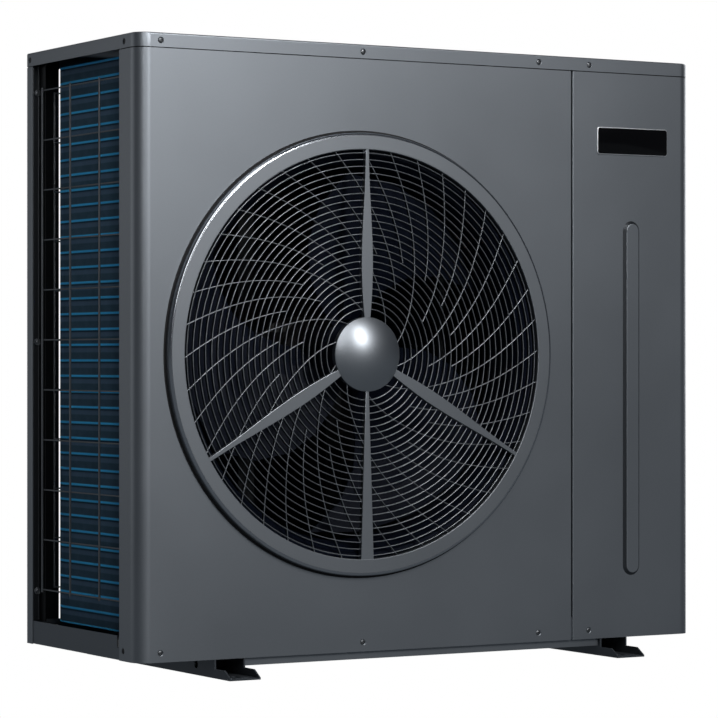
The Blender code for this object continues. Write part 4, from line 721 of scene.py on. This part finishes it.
def make_bezel():
    """The moulded rim, its four spokes and hub, and a near-black ring behind the rim that shows
    round it as painted shadow.
    """
    face = -BEZEL_PROUD
    corner = arc((BEZEL_RADIUS - BEZEL_ROUND, face + BEZEL_ROUND), BEZEL_ROUND, 0, -90, 10)
    lip = arc((OPENING + 0.0012, face + 0.0012), 0.0012, -90, -180, 4)
    flat = [(BEZEL_RADIUS - BEZEL_ROUND - 0.0003, face), (OPENING + 0.0015, face)]
    inside = [(OPENING, SHEET), (OPENING + 0.0024, SHEET), (OPENING + 0.0024, face + 0.0025),
              (BEZEL_RADIUS - 0.004, face + 0.0025), (BEZEL_RADIUS - 0.0025, face + 0.004),
              (BEZEL_RADIUS - 0.0025, -FIT), (BEZEL_RADIUS, -FIT)]
    bm = revolve(corner + flat + lip + inside, FAN, "Y", 160, closed=True)
    y = FRONT + face + 0.0002
    for turn in range(3):
        merge_in(bm, spoke(math.radians(120 * turn), leaf_width, y, 14))
    merge_in(bm, spoke(math.pi, taper_width, y, 2))
    hub = [(0, face + 0.0004), (HUB_RADIUS - 0.0008, face + 0.0004), (HUB_RADIUS, face + 0.0012),
           (HUB_RADIUS, face + 0.010), (0, face + 0.010)]
    merge_in(bm, revolve(hub, FAN, "Y", 72))
    # Painted shadow: a near-black ring just past the rim's foot.
    shadow_ring = [(BEZEL_RADIUS - 0.0015, -FIT), (BEZEL_RADIUS - 0.0015, -0.0009),
            (BEZEL_RADIUS + 0.0028, -0.0009), (BEZEL_RADIUS + 0.0036, -0.0004),
            (BEZEL_RADIUS + 0.0036, -FIT)]
    piece("grille_shadow_ring", revolve(shadow_ring, FAN, "Y", 160, closed=True), joint_shadow)
    piece("grille_bezel", bm, bezel_coat, stands_for=["front_grille"], merge=False,
          angle=20.0)


def leaf_width(t):
    """Width of a leaf-shaped spoke from the hub (0) to the bezel (1)."""
    belly, at_hub, widest, at_rim = 0.31, 0.0106, 0.0200, 0.0058
    if t < belly:
        return at_hub + (widest - at_hub) * math.sin(math.pi / 2 * t / belly)
    return at_rim + (widest - at_rim) * (1 + math.cos(math.pi * (t - belly) / (1 - belly))) / 2


def taper_width(t):
    """Width of the straight spoke from the hub (0) to the bezel (1)."""
    return 0.0055 + 0.0170 * t


def spoke(angle, width, y, steps):
    """A flat spoke from the hub to the bezel, its front at y."""
    inner, outer = HUB_RADIUS - 0.002, OPENING + 0.0015
    sides = ([], [])
    for i in range(steps + 1):
        radius = inner + (outer - inner) * i / steps
        half = math.asin(width(i / steps) / 2 / radius)
        for side, sign in zip(sides, (-1, 1)):
            side.append(clock(radius, angle + sign * half, y))
    bm = bmesh.new()
    face = bm.faces.new([bm.verts.new(point) for point in sides[0] + sides[1][::-1]])
    raise_faces(bm, [face], (0, SPOKE_DEPTH, 0))
    bmesh.ops.recalc_face_normals(bm, faces=bm.faces[:])
    return soften(bm, 0.0006, 50.0)


def spiral_turn(radius):
    """How far a spiral arm has turned at a radius."""
    fall = 1 - radius / OPENING
    return math.radians(36 * fall + 28 * fall ** 2 + 69 * fall ** 7)


def make_ribs():
    """Concentric ribs in front, spiral ribs just behind: one in four reaches the hub."""
    rings = []
    for i in range(RING_COUNT):
        radius = RING_FIRST + RING_PITCH * i
        rings.append([(radius * math.sin(a), radius * math.cos(a), 0.0)
                      for a in (math.tau * k / 120 for k in range(120))])
    bm = swept("rings", rings, GRILLE_BAR, RING_DEPTH, closed=True)
    lay_on_grille(bm, BEZEL_PROUD - RING_BACK - RING_DEPTH / 2)
    spirals = []
    ends = [HUB_RADIUS - 0.001, SHORT_SPIRAL_END, MIDDLE_SPIRAL_END, SHORT_SPIRAL_END]
    outer = OPENING + 0.001
    steps = 18
    for i in range(SPIRALS):
        inner = ends[i % 4]
        start = math.radians(SPIRAL_START + 360.0 * i / SPIRALS)
        route = []
        for k in range(steps + 1):
            radius = outer + (inner - outer) * k / steps
            angle = start + spiral_turn(radius)
            route.append((radius * math.sin(angle), radius * math.cos(angle), 0.0))
        spirals.append(route)
    arms = swept("arms", spirals, GRILLE_BAR, SPIRAL_DEPTH)
    lay_on_grille(arms, BEZEL_PROUD - SPIRAL_BACK - SPIRAL_DEPTH / 2)
    merge_in(bm, arms)
    piece("grille_ribs", bm, rib_coat, merge=False, angle=50.0)


def lay_on_grille(bm, proud):
    """Turn a flat layout to face the front, that far proud of the cabinet."""
    upright = Matrix.Rotation(math.radians(90), 4, "X")
    turn = Matrix.Translation((FAN.x, FRONT - proud, FAN.z)) @ upright
    bmesh.ops.transform(bm, matrix=turn, verts=bm.verts[:])
    bmesh.ops.recalc_face_normals(bm, faces=bm.faces[:])


def make_hub_dome():
    """A shallow cap of a sphere over the hub."""
    sphere = (HUB_RADIUS ** 2 + DOME_HEIGHT ** 2) / (2 * DOME_HEIGHT)
    face = -BEZEL_PROUD - FIT
    steps = 24
    profile = []
    for i in range(steps + 1):
        radius = HUB_RADIUS * math.sin(math.pi / 2 * (1 - i / steps))
        rise = math.sqrt(sphere ** 2 - radius ** 2) - (sphere - DOME_HEIGHT)
        profile.append((radius, face - rise))
    profile = [(HUB_RADIUS - 0.004, face), (HUB_RADIUS - 0.0004, face)] + profile[1:]
    piece("hub_dome", revolve(profile, FAN, "Y", 96), dome_coat, stands_for=["hub_cap"],
          angle=60.0)


# ---------------------------------------------------------------- coil and guards
def coil_stations():
    """Places along the coil's outer face: (point, inward direction), a fin pitch apart."""
    corner = COIL_CORNER
    x0, x1 = COIL_LOW.x, COIL_HIGH.x
    y0, y1 = COIL_LOW.y, COIL_HIGH.y
    stations = []
    side = y1 - corner - y0
    for i in range(int(side / FIN_PITCH)):
        stations.append((Vector((x0, y0 + FIN_PITCH * (i + 0.5), 0)), Vector((1, 0, 0))))
    bend = int(corner * math.pi / 2 / FIN_PITCH)
    for i in range(bend):
        angle = math.pi / 2 * (i + 0.5) / bend
        inward = Vector((math.cos(angle), -math.sin(angle), 0))
        stations.append((Vector((x0 + corner, y1 - corner, 0)) - inward * corner, inward))
    rear = x1 - x0 - corner
    for i in range(int(rear / FIN_PITCH)):
        stations.append((Vector((x0 + corner + FIN_PITCH * (i + 0.5), y1, 0)), Vector((0, -1, 0))))
    return stations


def make_coil():
    """Fin plates set square to the coil's face, and two staggered rows of copper tubes."""
    bm = bmesh.new()
    height = COIL_HIGH.z - COIL_LOW.z
    for point, inward in coil_stations():
        turn = Matrix.Rotation(math.atan2(inward.y, inward.x), 4, "Z")
        middle = point + inward * COIL_DEPTH / 2 + Vector((0, 0, COIL_LOW.z + height / 2))
        size = Matrix.Diagonal((COIL_DEPTH, FIN_SHEET, height, 1.0))
        bmesh.ops.create_cube(bm, size=1.0, matrix=Matrix.Translation(middle) @ turn @ size)
    piece("coil_fins", bm, fins, stands_for=["evaporator_coil"], merge=False,
          angle=20.0)
    routes = []
    count = int(height / TUBE_PITCH)
    for row in range(count):
        for depth, shift in ((0.012, 0.5), (0.032, 0.0)):
            z = COIL_LOW.z + TUBE_PITCH * (row + shift)
            if COIL_LOW.z + 0.006 < z < COIL_HIGH.z - 0.006:
                routes.append([point + inward * depth + Vector((0, 0, z))
                               for point, inward in coil_stations()[::6]])
    piece("coil_tubes", swept("tubes", routes, COIL_TUBE), copper, merge=False)


def eyelet(centre, axis, radius, wire):
    """A wire loop round a screw."""
    turns = [math.tau * k / 8 for k in range(8)]
    profile = [(radius + wire / 2 * math.cos(turn), wire / 2 * math.sin(turn)) for turn in turns]
    return revolve(profile, centre, axis, 20, closed=True)


def make_left_guard():
    """Wire guard on the open left side, held by eyelets and screws at three rows."""
    x = POST_LOW.x + 0.0105
    bm = bmesh.new()
    for back in GUARD_UPRIGHTS:
        foot = cab(0, back, GUARD_LOW - 0.004)
        head = cab(0, back, GUARD_TOP + 0.004)
        merge_in(bm, rod((x - 0.0006, foot.y, foot.z), (x - 0.0006, head.y, head.z), 0.0017, 10))
    for row in range(GUARD_ROWS):
        z = FLOOR + GUARD_LOW + GUARD_PITCH * row
        fixed = row in (0, GUARD_ROWS // 2, GUARD_ROWS - 1)
        merge_in(bm, rod((x + 0.001, FRONT + 0.0618, z), (x + 0.001, REAR - 0.0400, z), GUARD_WIRE))
        if fixed:
            ring = Vector((LEFT + 0.0085, REAR - 0.0245, z - 0.003))
            merge_in(bm, eyelet(ring, "Y", 0.0045, 0.0022))
            merge_in(bm, screw_head(ring + Vector((0, 0.0010, 0)), (0, -1, 0), 0.0036))
            merge_in(bm, eyelet((x - 0.0002, FRONT + 0.0700, z), "X", 0.0030, 0.0020))
    piece("left_guard_wires", bm, wire_coat, stands_for=["left_guard"], merge=False,
          angle=60.0)


def make_rear_guard():
    """Wire guard over the coil's rear face."""
    y = REAR - 0.0035
    bm = bmesh.new()
    left = LEFT + 0.046
    right = WALL_X - 0.004
    for i in range(REAR_UPRIGHTS):
        x = left + (right - left) * i / (REAR_UPRIGHTS - 1)
        merge_in(bm, rod((x, y - 0.0012, FLOOR + GUARD_LOW),
                         (x, y - 0.0012, FLOOR + GUARD_TOP), 0.0016))
    for row in range(GUARD_ROWS):
        z = FLOOR + GUARD_LOW + GUARD_PITCH * row
        merge_in(bm, rod((left, y + 0.0010, z), (right, y + 0.0010, z), GUARD_WIRE))
    piece("rear_guard_wires", bm, wire_coat, stands_for=["rear_guard"], merge=False,
          angle=60.0)


# ---------------------------------------------------------------- small hardware
DIMPLE_DEPTH = 0.0009
FRONT_HEAD, LEFT_HEAD, SIDE_HEAD = 0.0037, 0.0045, 0.0040
SKIRT_SCREW_Z = 0.9215
PLUG_INSET, PLUG_Z = 0.060, 0.016
BADGE_EDGE = 0.0009
FRONTWARD, BACKWARD = (0, -1, 0), (0, 1, 0)
LEFTWARD, RIGHTWARD = (-1, 0, 0), (1, 0, 0)
DEEP = REAR - FRONT
WIDE = RIGHT - LEFT
COVER_SCREWS = [(cab(x, 0, SKIRT_SCREW_Z), FRONTWARD) for x in (0.0395, 0.387, 0.711, 0.808)]
COVER_SCREWS += [(cab(0, y, SKIRT_SCREW_Z), LEFTWARD) for y in (0.0435, 0.381)]
COVER_SCREWS += [(cab(WIDE, y, SKIRT_SCREW_Z), RIGHTWARD) for y in (0.0435, 0.381)]
COVER_SCREWS += [(cab(x, DEEP, SKIRT_SCREW_Z), BACKWARD) for x in (0.0300, 0.387, 0.711, 0.980)]
FAN_PANEL_SCREWS = [(cab(x, 0, 0.014), FRONTWARD) for x in (0.0390, 0.3865, 0.710)]
FAN_PANEL_SCREWS += [(cab(0, 0.047, 0.015), LEFTWARD)]
SERVICE_PANEL_SCREWS = [(cab(0.807, 0, 0.014), FRONTWARD), (cab(WIDE, 0.047, 0.015), RIGHTWARD)]
SIDE_HEIGHTS = (0.015, 0.450, 0.890)
SIDE_SCREWS = [(cab(WIDE, y, z), RIGHTWARD) for y in (0.076, 0.384) for z in SIDE_HEIGHTS]
SIDE_SCREWS += [(cab(x, DEEP, z), BACKWARD) for x in (0.752, 0.966, 0.012) for z in SIDE_HEIGHTS]


def dimples(screws):
    """Cutters for the shallow dimples that screw heads sit in."""
    bm = bmesh.new()
    profile = [(0, CUT_CLEAR), (0.0058, CUT_CLEAR), (0.0050, 0.0), (0.0039, -DIMPLE_DEPTH),
               (0, -DIMPLE_DEPTH)]
    for centre, outward in screws:
        cone = revolve(profile, (0, 0, 0), "Z", 20)
        turn = Vector(outward).to_track_quat("Z", "Y").to_matrix().to_4x4()
        bmesh.ops.transform(cone, matrix=Matrix.Translation(centre) @ turn, verts=cone.verts[:])
        merge_in(bm, cone)
    return bm


def screw_head(centre, outward, radius=SIDE_HEAD, height=0.0017):
    """Pan head with a socket, facing outward."""
    profile = [(0, height * 0.4), (radius * 0.42, height * 0.4), (radius * 0.42, height),
               (radius * 0.75, height * 0.85), (radius, height * 0.35), (radius, 0.0)]
    bm = revolve(profile, (0, 0, 0), "Z", 18)
    turn = Vector(outward).to_track_quat("Z", "Y").to_matrix().to_4x4()
    bmesh.ops.transform(bm, matrix=Matrix.Translation(centre) @ turn, verts=bm.verts[:])
    return bm


def make_screws():
    """The casing's screws: flush in dimples on the cover and front panels, proud elsewhere."""
    light = bmesh.new()
    dark = bmesh.new()
    for centre, outward in COVER_SCREWS + FAN_PANEL_SCREWS + SERVICE_PANEL_SCREWS:
        target, radius = (dark, LEFT_HEAD) if outward == LEFTWARD else (light, FRONT_HEAD)
        out = Vector(outward)
        merge_in(target, screw_head(centre - out * DIMPLE_DEPTH, out, radius, DIMPLE_DEPTH))
    piece("front_screws", light, screw_zinc, merge=False)
    piece("left_screws", dark, screw_black, merge=False)
    proud = bmesh.new()
    for centre, outward in SIDE_SCREWS:
        merge_in(proud, screw_head(centre, outward))
    piece("side_screws", proud, screw_zinc, merge=False)


def make_hole_plugs():
    """Plugs in the rails' webs, near the front on the right side and near the rear on the left."""
    bm = bmesh.new()
    profile = [(0, 0.0008), (0.0072, 0.0008), (0.0078, 0.0002), (0.0057, 0.0002), (0.0057, -0.0030),
               (0, -0.0030)]
    for rail in ("foot_rail_left", "foot_rail_right"):
        low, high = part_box(rail)
        for x, y, outward in ((high.x, FRONT + PLUG_INSET, 1), (low.x, REAR - PLUG_INSET, -1)):
            turned = [(radius, height * outward) for radius, height in profile]
            merge_in(bm, revolve(turned, (x, y, PLUG_Z), "X", 24))
    piece("rail_hole_plugs", bm, rubber, merge=False)


def make_badge():
    """Blank gloss plate with a thin silver edge."""
    left, back, low = BADGE_LOW.x, BADGE_HIGH.y, BADGE_LOW.z
    right, front, high = BADGE_HIGH.x, BADGE_LOW.y, BADGE_HIGH.z
    points = [(left, back, low), (right, back, low), (right, back, high), (left, back, high)]
    rim = prism(points, [0.005] * 4, (0, front - back, 0), 8)
    piece("badge_rim", soften(rim, 0.0004), silver, stands_for=["badge_plate"])
    left, right = left + BADGE_EDGE, right - BADGE_EDGE
    low, high = low + BADGE_EDGE, high - BADGE_EDGE
    seat = front + 0.0004
    inner = [(left, seat, low), (right, seat, low), (right, seat, high), (left, seat, high)]
    plate = prism(inner, [0.0042] * 4, (0, -0.0007, 0), 8)
    piece("badge_face", soften(plate, 0.0002), badge_gloss)


# ---------------------------------------------------------------- water unions and controller
NUT_START = 0.012
STUB_OUT = 0.038
NUT_SEAT = STUB_OUT + 0.0072
NUT_END = NUT_SEAT + 0.007
STUB_RADIUS = 0.030
WATER_BORE = 0.025
TAIL_RADIUS = 0.029
TAIL_FLANGE_RADIUS = 0.0335
NUT_RADIUS = 0.042
NUT_RIBS = 20
NUT_RIB_HALF = 0.0022
NUT_GAP = 0.0006


def make_union(name):
    """Moulded union: socket stub, tail with its rim, and a finger-ribbed nut that turns."""
    low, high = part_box(name + "_nut")
    centre = Vector((RIGHT, (low.y + high.y) / 2, (low.z + high.z) / 2))
    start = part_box(name + "_stub")[0].x - RIGHT
    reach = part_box(name + "_tail")[1].x - RIGHT
    stub = [(STUB_RADIUS, start), (STUB_RADIUS, STUB_OUT - 0.0004),
            (STUB_RADIUS - 0.0004, STUB_OUT), (WATER_BORE, STUB_OUT), (WATER_BORE, start)]
    piece(name + "_socket", revolve(stub, centre, "X", 64, closed=True), socket_pvc,
          stands_for=[name + "_stub"])
    face = STUB_OUT + FIT
    tail = [(WATER_BORE, face), (TAIL_FLANGE_RADIUS, face), (TAIL_FLANGE_RADIUS, face + 0.006),
            (TAIL_RADIUS, face + 0.006), (TAIL_RADIUS, reach - 0.0012),
            (TAIL_RADIUS - 0.0012, reach), (WATER_BORE + 0.0008, reach),
            (WATER_BORE, reach - 0.0008)]
    piece(name + "_spigot", revolve(tail, centre, "X", 64, closed=True), socket_pvc,
          stands_for=[name + "_tail"])
    core = NUT_RADIUS - 0.0030
    bore, mouth, flange = STUB_RADIUS + NUT_GAP, TAIL_RADIUS + NUT_GAP, TAIL_FLANGE_RADIUS + NUT_GAP
    shell = [(bore, NUT_START), (core - 0.0008, NUT_START), (core, NUT_START + 0.0008),
             (core, NUT_END - 0.0015), (core - 0.0015, NUT_END), (mouth, NUT_END),
             (mouth, NUT_SEAT), (flange, NUT_SEAT), (flange, STUB_OUT - 0.0012),
             (bore, STUB_OUT - 0.0012)]
    bm = revolve(shell, centre, "X", 80, closed=True)
    for i in range(NUT_RIBS):
        ridge = block((RIGHT + NUT_START + 0.0010, -NUT_RIB_HALF, core - 0.0012),
                      (RIGHT + NUT_END - 0.0040, NUT_RIB_HALF, NUT_RADIUS), 0.0009)
        turn = Matrix.Rotation(math.tau * i / NUT_RIBS, 3, "X")
        bmesh.ops.rotate(ridge, verts=ridge.verts[:], cent=(0, 0, 0), matrix=turn)
        bmesh.ops.translate(ridge, verts=ridge.verts[:], vec=(0, centre.y, centre.z))
        merge_in(bm, ridge)
    piece(name + "_nut_shell", bm, nut_pvc, name + "_union_nut",
          stands_for=[name + "_nut"], merge=False)


def make_controller():
    """Keys with dished tops, and the display's window."""
    for key, body in (("key_power", "power_key"), ("key_mode", "mode_key"), ("key_set", "set_key")):
        low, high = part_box(key)
        centre = (0, (low.y + high.y) / 2, (low.z + high.z) / 2)
        radius = (high.z - low.z) / 2
        profile = [(0, low.x), (radius, low.x), (radius, high.x - 0.0008),
                   (radius - 0.0008, high.x), (radius - 0.0014, high.x), (0, high.x - 0.0005)]
        piece(key + "_cap", revolve(profile, centre, "X", 40), key_plastic, body,
              stands_for=[key])
    low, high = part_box("display_lens")
    piece("display_window", block(low, high, 0.0005), flap_gloss,
          stands_for=["display_lens"])


# ---------------------------------------------------------------- finishes of the CAD solids
def finish_nodes():
    """Give a finish to every solid that has no finer piece standing for it."""
    looks = {
        coat: ["right_side_panel", "rear_panel", "cross_rail"],
        post_coat: ["rear_left_post"],
        pan_coat: ["base_pan"],
        dark_coat: ["foot_rail_left", "foot_rail_right"],
        zinc: ["tube_sheet_right", "electrical_box", "electrical_lid"],
        shadow_zinc: ["partition", "tube_sheet_front", "motor_rail_left", "motor_rail_right"],
        copper: ["suction_header", "discharge_pipe", "suction_pipe", "exchanger_gas_pipe",
                 "header_pipe", "liquid_pipe", "evaporator_feed_pipe"],
        brass: ["distributor", "four_way_valve", "expansion_valve"],
        steel: ["motor_shaft", "shaft_nut"],
        navy_plastic: ["fan_shroud", "fan_rotor"],
        black_plastic: ["controller_housing", "cable_gland"],
        enamel: ["compressor", "accumulator", "fan_motor"],
        rubber: ["compressor_foot_1", "compressor_foot_2", "compressor_foot_3"],
        pvc: ["water_heat_exchanger"],
        flap_gloss: ["controller_cover"],
        board: ["inverter_board"],
    }
    for finish, names in looks.items():
        for name in names:
            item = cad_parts[name]
            item.data.materials.clear()
            item.data.materials.append(finish)


# ---------------------------------------------------------------- studio
def make_studio():
    """A bluish room that lights the object, and a white backdrop for the camera alone."""
    world = bpy.data.worlds.new("studio")
    bpy.context.scene.world = world
    world.use_nodes = True
    tree = world.node_tree
    tree.nodes.clear()
    output = tree.nodes.new("ShaderNodeOutputWorld")
    mixer = tree.nodes.new("ShaderNodeMixShader")
    sight = tree.nodes.new("ShaderNodeLightPath")
    room = tree.nodes.new("ShaderNodeBackground")
    backdrop = tree.nodes.new("ShaderNodeBackground")
    room.inputs["Color"].default_value = (*ROOM_COLOUR, 1.0)
    room.inputs["Strength"].default_value = ROOM_LIGHT
    backdrop.inputs["Color"].default_value = (*WHITE, 1.0)
    tree.links.new(sight.outputs["Is Camera Ray"], mixer.inputs["Fac"])
    tree.links.new(room.outputs[0], mixer.inputs[1])
    tree.links.new(backdrop.outputs[0], mixer.inputs[2])
    tree.links.new(mixer.outputs[0], output.inputs["Surface"])


def softbox(name, place, target, width, height, radiance):
    """A soft rectangular light of an even radiance, unseen by the camera."""
    lamp = bpy.data.lights.new(name, "AREA")
    lamp.shape = "RECTANGLE"
    lamp.size = width
    lamp.size_y = height
    lamp.energy = 4.0 * width * height * radiance
    item = bpy.data.objects.new(name, lamp)
    item.location = place
    item.rotation_euler = (Vector(target) - Vector(place)).to_track_quat("-Z", "Y").to_euler()
    item.visible_camera = False
    bpy.context.scene.collection.objects.link(item)


def make_floor():
    """Floor that is white to the camera and gives the underside a soft, even glow."""
    bm = bmesh.new()
    bmesh.ops.create_grid(bm, x_segments=1, y_segments=1, size=FLOOR_SIZE)
    mesh = bpy.data.meshes.new("floor")
    bm.to_mesh(mesh)
    bm.free()
    floor = bpy.data.objects.new("floor", mesh)
    finish = Finish("pale_floor", (0.8, 0.8, 0.8), 0.0, 0.9)
    white = finish.node("ShaderNodeEmission",
                        sockets={"Color": (*WHITE, 1.0), "Strength": 1.0})
    glow = finish.node("ShaderNodeEmission",
                       sockets={"Color": (*GLOW_COLOUR, 1.0), "Strength": FLOOR_GLOW})
    sight = finish.node("ShaderNodeLightPath")
    mixer = finish.node("ShaderNodeMixShader", sockets={0: sight.outputs["Is Camera Ray"],
                                                        1: glow.outputs[0], 2: white.outputs[0]})
    output = [node for node in finish.tree.nodes if node.type == "OUTPUT_MATERIAL"][0]
    finish.tree.links.new(mixer.outputs[0], output.inputs["Surface"])
    mesh.materials.append(finish.material)
    bpy.context.scene.collection.objects.link(floor)


def make_camera():
    lens = bpy.data.cameras.new("camera")
    lens.lens = LENS
    lens.sensor_width = SENSOR
    camera = bpy.data.objects.new("camera", lens)
    camera.location = cab(-2.0128, -4.0822, 0.4494)
    camera.rotation_euler = (math.radians(90), 0, math.radians(CAMERA_AZIMUTH))
    bpy.context.scene.collection.objects.link(camera)
    bpy.context.scene.camera = camera


LENS, SENSOR = 154.5, 36.0
CAMERA_AZIMUTH = -30.369
FLOOR_SIZE = 30.0
WHITE = (1.0, 1.0, 1.0)
ROOM_COLOUR = (0.55, 0.60, 0.68)
GLOW_COLOUR = (0.9, 1.0, 1.1)
ROOM_LIGHT = 0.112
FLOOR_GLOW = 0.150
KEY_LIGHT = 54.8
STRIP_LIGHT = 3.44
SIDE_LIGHT = 0.44
REAR_LIGHT = 1.0
RIGHT_LIGHT = 1.9
AIM = cab(0.4, 0.0, 0.45)

make_studio()
softbox("high_key", cab(1.195, -4.0, 2.744), AIM, 0.29, 2.0, KEY_LIGHT)
softbox("near_strip", cab(-0.435, -1.395, 1.924), AIM, 0.55, 2.5, STRIP_LIGHT)
softbox("side_fill", cab(-2.88, 2.565, 1.266), AIM, 2.5, 2.5, SIDE_LIGHT)
softbox("rear_fill", cab(2.1, 4.6, 2.1), cab(0.5, 0.4, 0.5), 4.0, 4.0, REAR_LIGHT)
softbox("right_fill", cab(5.2, 2.3, 2.0), cab(1.0, 0.2, 0.5), 4.0, 3.6, RIGHT_LIGHT)
make_floor()
make_camera()
bpy.context.scene.view_settings.view_transform = "Standard"
bpy.context.scene.view_settings.look = "None"

finish_nodes()
make_fan_panel()
make_service_panel()
make_cover()
make_bezel()
make_ribs()
make_hub_dome()
make_coil()
make_left_guard()
make_rear_guard()
make_screws()
make_hole_plugs()
make_badge()
make_union("inlet")
make_union("outlet")
make_controller()
